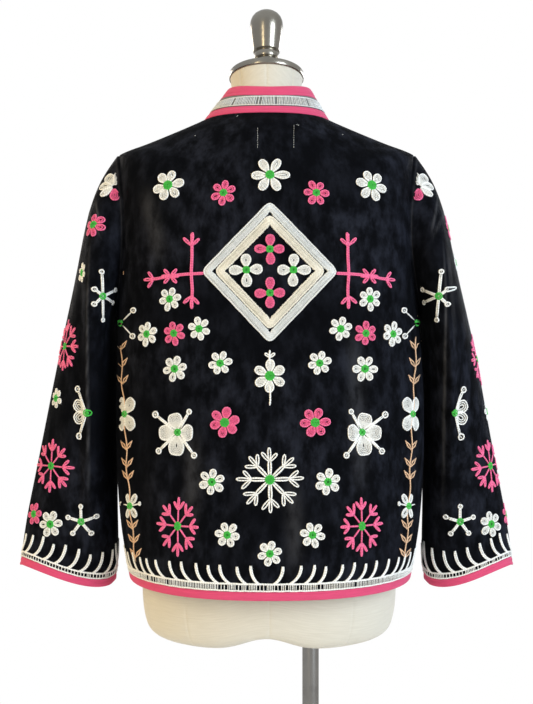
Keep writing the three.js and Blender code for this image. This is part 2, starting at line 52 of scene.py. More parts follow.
def select_only(*objects):
    """Leaves just these objects selected, the first of them active."""
    bpy.ops.object.select_all(action="DESELECT")
    for one in objects:
        one.select_set(True)
    bpy.context.view_layer.objects.active = objects[0]


bpy.ops.object.camera_add(location=MIDDLE + Vector((0, EYE_DISTANCE, 0)), rotation=(math.pi / 2, 0, math.pi))
camera = bpy.context.object
camera.data.sensor_width = SENSOR
camera.data.lens = SENSOR * EYE_DISTANCE / FRAME_HEIGHT
scene.camera = camera


def soft_light(name, place, size, power, colour, mirrored=True):
    """A soft box of a width and height that faces the jacket. mirrored is whether polished metal shows it."""
    bpy.ops.object.light_add(type="AREA", location=place)
    light = bpy.context.object
    light.name = name
    light.rotation_euler = (MIDDLE - Vector(place)).to_track_quat("-Z", "Y").to_euler()
    light.data.shape = "RECTANGLE"
    light.data.size, light.data.size_y = size
    light.data.energy = power
    light.data.color = colour
    light.visible_glossy = mirrored


soft_light("warm_side", (2.2, 0.9, 1.70), (3.0, 2.6), 44, (1.0, 0.72, 0.28), mirrored=False)
soft_light("warm_strip", (1.05, 2.1, 1.75), (0.34, 1.6), 11, (1.0, 0.82, 0.52))
soft_light("cool_side", (-1.8, 1.8, 1.80), (1.1, 1.8), 64, (0.82, 0.92, 1.0))
soft_light("front_warm", (1.5, -2.2, 1.9), (1.2, 1.2), 22, (1.0, 0.92, 0.82))
soft_light("front_cool", (-1.6, -2.1, 1.8), (1.2, 1.2), 30, (0.93, 0.96, 1.0))

surround = bpy.data.worlds.new("studio_surround")
surround.use_nodes = True
nodes, links = surround.node_tree.nodes, surround.node_tree.links
nodes.clear()
seen_white = nodes.new("ShaderNodeBackground")
seen_white.inputs["Color"].default_value = (1, 1, 1, 1)
lit_white = nodes.new("ShaderNodeBackground")
lit_white.inputs["Strength"].default_value = 0.62
which_way = nodes.new("ShaderNodeTexCoord")
height = nodes.new("ShaderNodeSeparateXYZ")
links.new(which_way.outputs["Generated"], height.inputs["Vector"])
shade = nodes.new("ShaderNodeValToRGB")
shade.color_ramp.elements[0].position = 0.0
shade.color_ramp.elements[0].color = (0.62, 0.61, 0.6, 1)
shade.color_ramp.elements[1].position = 0.75
shade.color_ramp.elements[1].color = (0.95, 0.98, 1, 1)
links.new(height.outputs["Z"], shade.inputs["Fac"])
links.new(shade.outputs["Color"], lit_white.inputs["Color"])
path = nodes.new("ShaderNodeLightPath")
either = nodes.new("ShaderNodeMixShader")
links.new(path.outputs["Is Camera Ray"], either.inputs["Fac"])
links.new(lit_white.outputs["Background"], either.inputs[1])
links.new(seen_white.outputs["Background"], either.inputs[2])
world_out = nodes.new("ShaderNodeOutputWorld")
links.new(either.outputs["Shader"], world_out.inputs["Surface"])
scene.world = surround

bpy.ops.mesh.primitive_circle_add(vertices=96, radius=FLOOR_RADIUS, fill_type="NGON", location=(0, 0, -0.001))
floor = bpy.context.object
floor.name = "floor"
floor_look = bpy.data.materials.new("pale_floor")
floor_look.use_nodes = True
floor_look.node_tree.nodes["Principled BSDF"].inputs["Base Color"].default_value = (0.86, 0.86, 0.85, 1)
floor_look.node_tree.nodes["Principled BSDF"].inputs["Roughness"].default_value = 0.8
floor.data.materials.append(floor_look)

# The stand: a heavy turned steel base with a hub, and a steel tube that rises from it into the form. Both are
# satin steel, polished round and round, so their fine scratches run along the turning.
POLE_X = -0.059
POLE_RADIUS = 0.011
POLE_TOP = 0.830
BASE_RADIUS = 0.190
BASE_FLOOR = 0.009


def shader_group(name, colours, values=()):
    """A new shader node group with a vector, colours and values going in, and its two end nodes."""
    group = bpy.data.node_groups.new(name, "ShaderNodeTree")
    kinds = {"Vector": "NodeSocketVector"}
    kinds.update({socket: "NodeSocketColor" for socket in colours})
    kinds.update({socket: "NodeSocketFloat" for socket in values})
    for socket, kind in kinds.items():
        group.interface.new_socket(socket, in_out="INPUT", socket_type=kind)
    for socket, kind in (("Color", "Color"), ("Roughness", "Float"), ("Height", "Float")):
        group.interface.new_socket(socket, in_out="OUTPUT", socket_type="NodeSocket" + kind)
    return group, group.nodes.new("NodeGroupInput"), group.nodes.new("NodeGroupOutput")


def math_node(group, operation, first, second=None, third=None):
    """A math node on sockets or plain numbers, by its result."""
    node = group.nodes.new("ShaderNodeMath")
    node.operation = operation
    for socket, value in zip(node.inputs, (first, second, third)):
        if isinstance(value, bpy.types.NodeSocket):
            group.links.new(value, socket)
        elif value is not None:
            socket.default_value = value
    return node.outputs[0]


def noise_node(group, vector, scale, detail=3.0, rough=0.5):
    """A noise on a vector socket, by its value."""
    node = group.nodes.new("ShaderNodeTexNoise")
    for socket, value in (("Detail", detail), ("Roughness", rough), ("Scale", scale)):
        node.inputs[socket].default_value = value
    group.links.new(vector, node.inputs["Vector"])
    return node.outputs["Fac"]


def stretched(group, vector, scale):
    """A vector socket scaled along each axis."""
    node = group.nodes.new("ShaderNodeMapping")
    node.inputs["Scale"].default_value = scale
    group.links.new(vector, node.inputs["Vector"])
    return node.outputs["Vector"]


def send(group, end, **results):
    """Links results to a group's own outputs by their names."""
    for socket, result in results.items():
        group.links.new(result, end.inputs[socket])


def blend_node(group, share, first, second):
    """A mix of two colour sockets, by its colour."""
    node = group.nodes.new("ShaderNodeMix")
    node.data_type = "RGBA"
    sockets = [s for s in node.inputs if s.type == "RGBA"]
    for socket, value in ((node.inputs["Factor"], share), (sockets[0], first), (sockets[1], second)):
        group.links.new(value, socket)
    return next(s for s in node.outputs if s.type == "RGBA")


def ramp_node(group, value, low, high):
    """A value stretched so that low becomes 0 and high becomes 1, smoothly."""
    node = group.nodes.new("ShaderNodeMapRange")
    node.interpolation_type = "SMOOTHSTEP"
    node.inputs["From Min"].default_value = low
    node.inputs["From Max"].default_value = high
    group.links.new(value, node.inputs["Value"])
    return node.outputs["Result"]


def brushed_group():
    """Fine scratches round an upright axis, with soft wear between them."""
    group, start, end = shader_group("brushed_metal", ("Tone", "Worn"))
    scratches = noise_node(group, stretched(group, start.outputs["Vector"], (14, 14, 1500)), 1.0, 4.0, 0.6)
    clouds = noise_node(group, start.outputs["Vector"], 26.0)
    wear = ramp_node(group, clouds, 0.35, 0.75)
    tone = blend_node(group, wear, start.outputs["Tone"], start.outputs["Worn"])
    rough = math_node(group, "MULTIPLY_ADD", scratches, 0.16, 0.16)
    send(group, end, Color=tone, Roughness=rough, Height=scratches)
    return group


BRUSHED = brushed_group()


def finish_with(name, group, settings, sockets, bump, coordinates="Object"):
    """A material whose colour, roughness and bump come from one group. sockets are the shader's constants."""
    look = bpy.data.materials.new(name)
    look.use_nodes = True
    tree = look.node_tree
    shader = tree.nodes["Principled BSDF"]
    for socket, value in sockets.items():
        shader.inputs[socket].default_value = value
    pattern = tree.nodes.new("ShaderNodeGroup")
    pattern.node_tree = group
    for socket, value in settings.items():
        pattern.inputs[socket].default_value = value
    place = tree.nodes.new("ShaderNodeTexCoord")
    tree.links.new(place.outputs[coordinates], pattern.inputs["Vector"])
    tree.links.new(pattern.outputs["Color"], shader.inputs["Base Color"])
    tree.links.new(pattern.outputs["Roughness"], shader.inputs["Roughness"])
    relief = tree.nodes.new("ShaderNodeBump")
    relief.inputs["Distance"].default_value = bump
    tree.links.new(pattern.outputs["Height"], relief.inputs["Height"])
    tree.links.new(relief.outputs["Normal"], shader.inputs["Normal"])
    return look


def place_piece(piece, look, node):
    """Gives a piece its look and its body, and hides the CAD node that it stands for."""
    piece.data.materials.append(look)
    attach(piece, "root")
    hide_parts(node)


steel_look = finish_with(
    "satin_steel", BRUSHED, {"Tone": (0.48, 0.47, 0.45, 1), "Worn": (0.38, 0.37, 0.36, 1)},
    {"Metallic": 1.0}, 0.00002,
)


def turned(name, place, profile, vertices=96, edge=0.0006):
    """A solid turned on a lathe: a disc is drawn up through the profile's radii and heights, then closed."""
    (radius, low), *rest = profile
    x, y, z = place
    bpy.ops.mesh.primitive_circle_add(
        vertices=vertices, radius=radius, fill_type="NGON", location=(x, y, z + low),
    )
    piece = bpy.context.object
    piece.name = name
    bpy.ops.object.transform_apply(location=True, rotation=True, scale=True)
    bpy.ops.object.mode_set(mode="EDIT")
    bpy.ops.mesh.select_all(action="SELECT")
    for next_radius, next_height in rest:
        bpy.ops.mesh.extrude_region_move(TRANSFORM_OT_translate={"value": (0, 0, next_height - low)})
        share = next_radius / radius
        bpy.ops.transform.resize(value=(share, share, 1), center_override=(x, y, z + next_height))
        radius, low = next_radius, next_height
    bpy.ops.mesh.select_all(action="SELECT")
    bpy.ops.mesh.normals_make_consistent(inside=False)
    bpy.ops.object.mode_set(mode="OBJECT")
    soften = piece.modifiers.new("edges", "BEVEL")
    soften.width = edge
    soften.segments = 3
    soften.limit_method = "ANGLE"
    soften.angle_limit = math.radians(28)
    select_only(piece)
    bpy.ops.object.modifier_apply(modifier=soften.name)
    bpy.ops.object.shade_smooth_by_angle(angle=math.radians(30))
    return piece


base = turned("stand_base", (POLE_X, 0, 0), [
    (BASE_RADIUS, 0), (BASE_RADIUS, 0.006), (0.186, 0.0078), (0.110, 0.0112), (0.038, 0.014),
    (0.0245, 0.0158), (0.019, 0.020), (0.019, 0.0505), (0.0180, 0.052), (0.0118, 0.052),
    (0.0113, 0.0512), (0.0113, BASE_FLOOR),
])
pole = turned("stand_pole", (POLE_X, 0, 0), [
    (POLE_RADIUS, BASE_FLOOR + 0.0003), (POLE_RADIUS, 0.40), (POLE_RADIUS, POLE_TOP),
], vertices=64)
place_piece(base, steel_look, "base")
place_piece(pole, steel_look, "pole")

# The torso: a moulded body under a close linen cover, sewn from eight gores, with a notch between two lobes
# at its underside. The gores meet in narrow stitched seams that pull the cover in a little.
TORSO_COLUMNS = ("side_x", "side_z", "back", "back_z", "front", "front_z", "power", "sag", "shift")
TORSO = [
    (0.130, 0.777, 0.080, 0.777, 0.072, 0.777, 2.3, 0, -0.0035),
    (0.154, 0.785, 0.102, 0.785, 0.092, 0.785, 2.3, 0, -0.0035),
    (0.164, 0.802, 0.112, 0.802, 0.101, 0.802, 2.3, 0, -0.0035),
    (0.168, 0.838, 0.117, 0.838, 0.107, 0.838, 2.3, 0, -0.0035),
    (0.167, 0.890, 0.119, 0.890, 0.108, 0.890, 2.2, 0, -0.003),
    (0.150, 0.975, 0.106, 0.975, 0.100, 0.975, 2.2, 0, -0.002),
    (0.125, 1.065, 0.090, 1.065, 0.092, 1.065, 2.2, 0, -0.001),
    (0.124, 1.125, 0.088, 1.125, 0.096, 1.125, 2.2, 0, 0),
    (0.137, 1.210, 0.097, 1.210, 0.113, 1.210, 2.2, 0, 0),
    (0.147, 1.280, 0.104, 1.275, 0.109, 1.265, 2.4, 0.002, 0),
    (0.158, 1.350, 0.104, 1.335, 0.094, 1.320, 2.5, 0.014, 0),
    (0.166, 1.400, 0.098, 1.375, 0.086, 1.350, 2.3, 0.026, 0),
    (0.158, 1.427, 0.090, 1.398, 0.079, 1.366, 2.2, 0.030, 0),
    (0.118, 1.444, 0.074, 1.425, 0.070, 1.385, 2.1, 0.018, 0),
    (0.083, 1.459, 0.060, 1.444, 0.062, 1.400, 2.0, 0.006, 0),
    (0.058, 1.480, 0.0495, 1.461, 0.052, 1.448, 2.0, 0, 0),
    (0.0475, 1.499, 0.0455, 1.488, 0.046, 1.484, 2.0, 0, 0),
    (0.0485, 1.514, 0.047, 1.514, 0.047, 1.514, 2.0, 0, 0),
]
SHOULDER_TIP = (0.194, 1.4125)
NECK_POINT = (0.0845, 1.4543)
SHOULDER_SLOPE = (NECK_POINT[1] - SHOULDER_TIP[1]) / (SHOULDER_TIP[0] - NECK_POINT[0])
SHOULDER_RIDGE = 1.3
NECK_TILT = math.radians(8.3)
TORSO_SEAT_ROWS = (12, 14)
SEAT_DROP = (0.001 + 0.0005) * math.hypot(1, SHOULDER_SLOPE)
LOBE_NOTCH = (0.0175, 0.037)
GORE_ANGLE = 0.76
GORE_SEAMS = [
    0, GORE_ANGLE, math.pi / 2, math.pi - GORE_ANGLE,
    math.pi, math.pi + GORE_ANGLE, 1.5 * math.pi, 2 * math.pi - GORE_ANGLE,
]
GORE_SEAM = (0.0005, 0.0011)


def ease(value, low, high):
    """0 to 1 between two values, gently at both ends."""
    share = np.clip((value - low) / (high - low), 0, 1)
    return share * share * (3 - 2 * share)


def section_at(table, names, row):
    """The columns of a table at fractional rows, on smooth curves through its rows."""
    values = np.array(table)
    last = len(table) - 1
    at = np.clip(np.floor(row).astype(int), 0, last - 1)
    f = (row - at)[..., None]
    a, b, c, d = (values[np.clip(at + k, 0, last)] for k in (-1, 0, 1, 2))
    found = b + 0.5 * f * (c - a + f * (2 * a - 5 * b + 4 * c - d + f * (3 * (b - c) + d - a)))
    return {name: found[..., i] for i, name in enumerate(names)}


def section_point(section, angle):
    """Points at angles round a rounded oblong. Angle 0 is the left side and a quarter turn is the back."""
    c, s = np.cos(angle), np.sin(angle)
    depth = np.where(s >= 0, section["back"], section["front"])
    middle_z = np.where(s >= 0, section["back_z"], section["front_z"])
    power = section["power"]
    reach = (np.abs(c / section["side_x"]) ** power + np.abs(s / depth) ** power) ** (-1 / power)
    dip = section["sag"] * np.abs(np.sin(2 * angle)) ** (SHOULDER_RIDGE + s * s)
    z = section["side_z"] + (middle_z - section["side_z"]) * s * s - dip
    return np.stack([reach * c + section.get("shift", 0), reach * s, z], axis=-1)


def torso_point(angle, row):
    """Points of the torso's cover, drawn in at the gore seams."""
    section = section_at(TORSO, TORSO_COLUMNS, row)
    seat = NECK_POINT[1] - (section["side_x"] - NECK_POINT[0]) * SHOULDER_SLOPE - SEAT_DROP
    on_seat = (row >= TORSO_SEAT_ROWS[0]) & (row <= TORSO_SEAT_ROWS[1])
    section["side_z"] = np.where(on_seat, np.minimum(seat, section["side_z"] + 0.01), section["side_z"])
    point = section_point(section, angle)
    depth, width = LOBE_NOTCH
    point[..., 2] += depth * (1 - ease(row, 0, 3)) * np.exp(-((point[..., 0] / width) ** 2))
    lean = ease(row, TORSO_SEAT_ROWS[1], len(TORSO) - 1)
    point[..., 2] += point[..., 1] * math.tan(NECK_TILT) * lean
    reach = np.hypot(point[..., 0], point[..., 1])
    for seam in GORE_SEAMS:
        away = np.abs((angle - seam + math.pi) % (2 * math.pi) - math.pi) * reach
        share = 1 - GORE_SEAM[0] * np.exp(-((away / GORE_SEAM[1]) ** 2)) / reach
        point[..., 0] *= share
        point[..., 1] *= share
    return point


def mesh_piece(name, points, faces, uv=None):
    """A mesh object from points, faces as rows of point numbers, and a UV pair for each face's corners."""
    mesh = bpy.data.meshes.new(name)
    corners = faces.ravel()
    mesh.vertices.add(len(points))
    mesh.vertices.foreach_set("co", points.astype(np.float32).ravel())
    mesh.loops.add(len(corners))
    mesh.loops.foreach_set("vertex_index", corners.astype(np.int32))
    mesh.polygons.add(len(faces))
    mesh.polygons.foreach_set("loop_start", np.arange(0, len(corners), faces.shape[1], dtype=np.int32))
    mesh.update(calc_edges=True)
    if uv is not None:
        mesh.uv_layers.new(name="cloth").data.foreach_set("uv", uv.astype(np.float32).ravel())
    mesh.validate()
    piece = bpy.data.objects.new(name, mesh)
    scene.collection.objects.link(piece)
    return piece


def grid_faces(rows, columns, closed):
    """Quads of a grid of points, and the same corners in a grid with one more column where it is closed."""
    across = columns if closed else columns - 1
    r, c = np.meshgrid(np.arange(rows - 1), np.arange(across), indexing="ij")
    r, c = r.ravel(), c.ravel()
    following = (c + 1) % columns
    quads = np.stack([r * columns + c, r * columns + following,
                      (r + 1) * columns + following, (r + 1) * columns + c], axis=1)
    wide = columns + 1 if closed else columns
    flat = np.stack([r * wide + c, r * wide + c + 1, (r + 1) * wide + c + 1, (r + 1) * wide + c], axis=1)
    return quads, flat


def arc_lengths(grid, closed):
    """UV in metres of cloth for each point of a grid: along its middle row, and up each column."""
    wide = np.concatenate([grid, grid[:, :1]], axis=1) if closed else grid
    middle = wide[len(wide) // 2]
    u = np.concatenate([[0], np.cumsum(np.linalg.norm(np.diff(middle, axis=0), axis=1))])
    v = np.linalg.norm(np.diff(wide, axis=0), axis=2).cumsum(axis=0)
    v = np.concatenate([np.zeros((1, wide.shape[1])), v])
    return np.stack([np.broadcast_to(u, v.shape), v], axis=-1).reshape(-1, 2)


def smooth_over(piece, degrees=50):
    """Shades a piece smooth, but for edges sharper than an angle."""
    select_only(piece)
    bpy.ops.object.shade_smooth_by_angle(angle=math.radians(degrees))


def torso_cover():
    """Rings from the underside to the neck, with finer columns at the seams, closed by a fan at each end."""
    even = np.linspace(0, 2 * math.pi, 104, endpoint=False)
    fine = [seam + step * 0.0085 for seam in GORE_SEAMS for step in (-2, -1, 0, 1, 2)]
    angles = np.unique(np.round(np.concatenate([even, np.array(fine) % (2 * math.pi)]), 4))
    rows = np.unique(np.concatenate([np.linspace(0, 3, 19), np.linspace(3, 12, 46), np.linspace(12, 17, 36)]))
    grid = torso_point(angles[None, :], rows[:, None] + 0 * angles[None, :])
    points = grid.reshape(-1, 3)
    quads, flat = grid_faces(*grid.shape[:2], True)
    uv = arc_lengths(grid, True)[flat]
    columns = len(angles)
    top_ring = (len(rows) - 1) * columns
    under = np.array([[-0.0035, 0, TORSO[0][1] + LOBE_NOTCH[0]]])
    above = np.array([[0, 0, TORSO[-1][1]]])
    c = np.arange(columns)
    bottom_fan = np.stack([0 * c + len(points), (c + 1) % columns, c], axis=1)
    top_fan = np.stack([0 * c + len(points) + 1, top_ring + c, top_ring + (c + 1) % columns], axis=1)
    body = mesh_piece("form_torso", np.concatenate([points, under, above]), quads, uv)
    mesh = body.data
    ends = np.concatenate([bottom_fan, top_fan])
    start = len(mesh.loops)
    count = len(mesh.polygons)
    mesh.loops.add(ends.size)
    mesh.polygons.add(len(ends))
    loop_starts = np.concatenate([np.arange(count) * 4, start + np.arange(len(ends)) * 3])
    vertices = np.concatenate([quads.ravel(), ends.ravel()])
    mesh.loops.foreach_set("vertex_index", vertices.astype(np.int32))
    mesh.polygons.foreach_set("loop_start", loop_starts.astype(np.int32))
    mesh.update(calc_edges=True)
    mesh.validate()
    return body


def linen_group():
    """A plain weave: threads over and under each other, with uneven slubs."""
    group, start, end = shader_group("plain_weave", ("Warp", "Weft"), ("Threads",))
    split = group.nodes.new("ShaderNodeSeparateXYZ")
    group.links.new(start.outputs["Vector"], split.inputs["Vector"])
    waves = []
    for axis in ("X", "Y"):
        turns = math_node(group, "MULTIPLY", split.outputs[axis], start.outputs["Threads"])
        waves.append(math_node(group, "SINE", math_node(group, "MULTIPLY", turns, 2 * math.pi)))
    over = math_node(group, "MULTIPLY", waves[0], waves[1])
    slub = noise_node(group, stretched(group, start.outputs["Vector"], (40, 600, 1)), 1.0, 2.0)
    share = math_node(group, "MULTIPLY_ADD", over, 0.22, slub)
    tone = blend_node(group, ramp_node(group, share, 0.2, 0.9), start.outputs["Weft"], start.outputs["Warp"])
    rough = math_node(group, "MULTIPLY_ADD", slub, 0.12, 0.8)
    send(group, end, Color=tone, Roughness=rough, Height=share)
    return group


WEAVE = linen_group()
torso = torso_cover()
smooth_over(torso, 60)
linen_look = finish_with(
    "linen_cover", WEAVE, {"Warp": (0.65, 0.62, 0.545, 1), "Weft": (0.57, 0.54, 0.465, 1), "Threads": 1500.0},
    {"Sheen Weight": 0.15, "Sheen Roughness": 0.6}, 0.00012, "UV",
)
place_piece(torso, linen_look, "torso")

# The neck cap and finial: a flat turned cap that closes the cut neck, and on it a foot, a ring between two
# grooves and an egg-shaped knob. Both are brushed nickel and lean forward with the neck.
NECK_TOP = TORSO[-1][1]
CAP_TOP = 0.019
SEAM = 0.0003
nickel_look = finish_with(
    "brushed_nickel", BRUSHED, {"Tone": (0.37, 0.345, 0.30, 1), "Worn": (0.30, 0.28, 0.24, 1)},
    {"Metallic": 1.0}, 0.00002,
)
cap = turned("neck_cap_disc", (0, 0, NECK_TOP), [
    (0.0488, SEAM), (0.0500, 0.0012), (0.0500, 0.0068), (0.0496, 0.0080), (0.0486, 0.0087), (0.0400, 0.0107),
    (0.0300, 0.0130), (0.0200, 0.0164), (0.0163, 0.0178), (0.0160, CAP_TOP),
], edge=0.0003)
knob = turned("finial_knob", (0, 0, NECK_TOP + CAP_TOP + SEAM), [
    (0.0146, 0), (0.0148, 0.0010), (0.0148, 0.0076), (0.0140, 0.0086), (0.0134, 0.0092),
    (0.0150, 0.0098), (0.0165, 0.0106), (0.0167, 0.0125), (0.0167, 0.0160), (0.0164, 0.0174),
    (0.0152, 0.0184), (0.0150, 0.0190), (0.0166, 0.0198), (0.0180, 0.0210), (0.0188, 0.0260),
    (0.0198, 0.0330), (0.0205, 0.0390), (0.0214, 0.0460), (0.0221, 0.0525), (0.0223, 0.0570),
    (0.0222, 0.0605), (0.0214, 0.0650), (0.0198, 0.0690), (0.0172, 0.0725), (0.0137, 0.0753),
    (0.0095, 0.0773), (0.0050, 0.0784), (0.0008, 0.0788),
], edge=0.0002)
at_neck = Matrix.Translation((0, 0, NECK_TOP))
lean = at_neck @ Matrix.Rotation(NECK_TILT, 4, "X") @ at_neck.inverted()
for piece, node in ((cap, "neck_cap"), (knob, "finial")):
    piece.data.transform(lean)
    place_piece(piece, nickel_look, node)

# The jacket's body: a back and two fronts cut from silk velvet, joined in one line over the shoulders and
# down the sides. The pile is crushed in soft patches, and a few long creases run down it.
BODY_COLUMNS = TORSO_COLUMNS[:-1]
BODY = [
    (0.180, 0.858, 0.150, 0.858, 0.142, 0.858, 2.30, 0),
    (0.191, 0.925, 0.147, 0.925, 0.139, 0.925, 2.35, 0),
    (0.1965, 1.000, 0.142, 1.000, 0.136, 1.000, 2.40, 0),
    (0.1975, 1.075, 0.136, 1.075, 0.133, 1.075, 2.45, 0),
    (0.1965, 1.140, 0.131, 1.140, 0.131, 1.140, 2.50, 0),
    (0.1945, 1.195, 0.127, 1.195, 0.129, 1.195, 2.60, 0),
    (0.192, 1.262, 0.124, 1.257, 0.125, 1.250, 2.75, 0.002),
    (0.1915, 1.335, 0.120, 1.318, 0.115, 1.302, 2.70, 0.013),
    (0.194, 1.4125, 0.112, 1.372, 0.103, 1.346, 2.35, 0.024),
    (0.1575, 1.4264, 0.100, 1.409, 0.094, 1.374, 2.30, 0.017),
    (0.121, 1.4404, 0.084, 1.436, 0.086, 1.395, 2.20, 0.008),
    (0.0845, 1.4543, 0.066, 1.4525, 0.077, 1.411, 2.10, 0),
]
# How far the cloth is carried toward the wearer's right, and between which heights and places.
FULLNESS = {"by": 0.0095, "full_below": 1.090, "none_above": 1.320, "seam_x": 0.200, "sleeve_x": 0.320}
NECK_ROLL = {"row": 10.84, "width": 0.055, "height": 0.0012}
ROUNDED_BY = 0.5
UNDERARM_ROW, SHOULDER_ROW, NECK_ROW = 5, 8, 11
HEM_BINDING_ROW = 0.225
VELVET = 0.002
ARMHOLE = {"back": 0.34, "front": 0.31}
FRONT_GAP = {"hem": 0.064, "neck": 0.012}
BINDING_HEIGHT = 0.011
BODY_FOLDS = [
    # angle round the body, first and last row, depth of the trough, half width as an angle
    (2.31, 1.6, 4.9, 0.004, 0.11),
    (0.86, 0.2, 3.6, 0.003, 0.13),
    (-0.95, 0.4, 4.6, 0.004, 0.13),
    (-2.2, 0.3, 4.2, 0.0035, 0.13),
]
BODY_CREASES = [
    # face, x and z where it starts, x and z where it ends, depth (a ridge where negative), half width
    (1, -0.104, 1.180, -0.112, 0.975, 0.0016, 0.007),
    (1, 0.118, 1.240, 0.136, 1.060, 0.0012, 0.010),
    (1, 0.150, 1.110, 0.160, 0.900, 0.0022, 0.012),
    (1, -0.150, 1.120, -0.163, 0.890, 0.0020, 0.012),
    (1, 0.052, 1.010, 0.060, 0.870, 0.0014, 0.011),
    (1, -0.038, 0.985, -0.040, 0.868, -0.0012, 0.014),
    (1, 0.004, 1.420, 0.060, 1.395, 0.0009, 0.009),
    (1, -0.020, 1.440, -0.085, 1.420, 0.0008, 0.008),
    (-1, 0.098, 1.160, 0.110, 0.960, 0.0018, 0.009),
    (-1, -0.108, 1.150, -0.102, 0.930, 0.0018, 0.010),
    (-1, 0.064, 1.300, 0.082, 1.120, 0.0012, 0.010),
    (-1, -0.060, 1.290, -0.088, 1.140, 0.0012, 0.011),
    (-1, 0.148, 1.090, 0.155, 0.890, 0.0020, 0.012),
    (-1, -0.150, 1.080, -0.158, 0.890, 0.0022, 0.012),
]


def body_section(row):
    """The body's section at rows, with a straight shoulder line from the tip to the neck."""
    section = section_at(BODY, BODY_COLUMNS, row)
    up = np.clip((row - SHOULDER_ROW) / (NECK_ROW - SHOULDER_ROW), 0, 1)
    near = np.clip(row - SHOULDER_ROW + 1, 0, 1)
    below = BODY[SHOULDER_ROW - 1]
    for name, i, power in (("side_x", 0, 2), ("side_z", 1, 1)):
        shoulder = SHOULDER_TIP[i] + (NECK_POINT[i] - SHOULDER_TIP[i]) * up
        side = below[i] + (SHOULDER_TIP[i] - below[i]) * near ** power
        straight = np.where(row > SHOULDER_ROW, shoulder, side)
        section[name] = np.where(row > SHOULDER_ROW - 1, straight, section[name])
    return section


def crease_depth(point, creases):
    """How far a surface sinks at each point for its list of creases, each tapered towards its ends."""
    sunk = np.zeros(point.shape[:-1])
    for face, x0, z0, x1, z1, depth, width in creases:
        dx, dz = x1 - x0, z1 - z0
        length = math.hypot(dx, dz)
        along = ((point[..., 0] - x0) * dx + (point[..., 2] - z0) * dz) / length ** 2
        bend = 0.12 * width * np.sin(7 * along * length / 0.1)
        off = ((point[..., 0] - x0) * dz - (point[..., 2] - z0) * dx) / length + bend
        taper = ease(along, -0.02, 0.3) * (1 - ease(along, 0.62, 1.02))
        sunk += depth * taper * np.exp(-((off / width) ** 2)) * (face * point[..., 1] > 0)
    return sunk


def settled(point):
    """Points of the jacket where they hang: a little fuller on the wearer's right, below the chest."""
    low = 1 - ease(point[..., 2], FULLNESS["full_below"], FULLNESS["none_above"])
    across = np.clip((FULLNESS["seam_x"] - point[..., 0]) / (2 * FULLNESS["seam_x"]), 0, 1)
    sleeve = 1 - ease(-point[..., 0], FULLNESS["seam_x"], FULLNESS["sleeve_x"])
    moved_by = FULLNESS["by"] * low * across * sleeve
    return np.concatenate([point[..., :1] - moved_by[..., None], point[..., 1:]], axis=-1)


def even_body_point(angle, row):
    """Points of the jacket's body with its folds and creases, before it settles to one side."""
    angle, row = np.broadcast_arrays(np.asarray(angle, float), np.asarray(row, float))
    rounded = ease(np.abs(np.sin(angle)), 0, ROUNDED_BY)[..., None]
    straight = section_point(body_section(row), angle)
    point = straight + (section_point(section_at(BODY, BODY_COLUMNS, row), angle) - straight) * rounded
    sunk = crease_depth(point, BODY_CREASES)
    for at, first, last, depth, width in BODY_FOLDS:
        middle = (first + last) / 2
        along = ease(row, first, middle) * (1 - ease(row, middle, last))
        sunk = sunk + depth * along * np.exp(-(((angle - at) / width) ** 2))
    roll = np.exp(-(((row - NECK_ROLL["row"]) / NECK_ROLL["width"]) ** 2)) * (np.sin(angle) > 0)
    sunk = sunk - NECK_ROLL["height"] * roll * np.maximum(np.sin(angle), 0) ** 0.3
    share = 1 - sunk / np.hypot(point[..., 0], point[..., 1])
    point[..., 0] *= share
    point[..., 1] *= share
    return point


def body_point(angle, row):
    """Points of the jacket's body at angles round it and rows up it."""
    return settled(even_body_point(angle, row))


def normal_of(surface, a, b, step=0.004):
    """Unit vectors out of a surface, from small steps each way."""
    along_a = surface(a + step, b) - surface(a - step, b)
    along_b = surface(a, b + step) - surface(a, b - step)
    normal = np.cross(along_a, along_b)
    return normal / np.linalg.norm(normal, axis=-1, keepdims=True)


def armhole_angle(row, widest):
    """How far the armhole's edge lies from the side line, as an angle."""
    half = (SHOULDER_ROW - UNDERARM_ROW) / 2
    share = (row - UNDERARM_ROW - half) / half
    return widest * np.sqrt(np.clip(1 - share * share, 0, 1))


def front_angle(x, row):
    """Angle at which the front reaches a distance x from the middle."""
    return -math.pi / 2 + np.arcsin(x / body_section(row)["front"])


def front_edge(row):
    """How far a front's open edge lies from the middle, at rows."""
    return (FRONT_GAP["hem"] + (FRONT_GAP["neck"] - FRONT_GAP["hem"]) * row / NECK_ROW) / 2


def front_point_right(angle, row):
    """Points of the wearer's right front by the angle of the point that it mirrors."""
    return body_point(math.pi - angle, row)


def body_rows(lower, armhole, upper):
    """Rows up the body, closer together at the armhole's ends."""
    middle = (UNDERARM_ROW + SHOULDER_ROW) / 2
    half = (SHOULDER_ROW - UNDERARM_ROW) / 2
    return np.concatenate([
        np.linspace(HEM_BINDING_ROW, UNDERARM_ROW, lower, endpoint=False),
        middle - half * np.cos(np.linspace(0, math.pi, armhole)),
        np.linspace(SHOULDER_ROW, NECK_ROW, upper + 1)[1:],
    ])


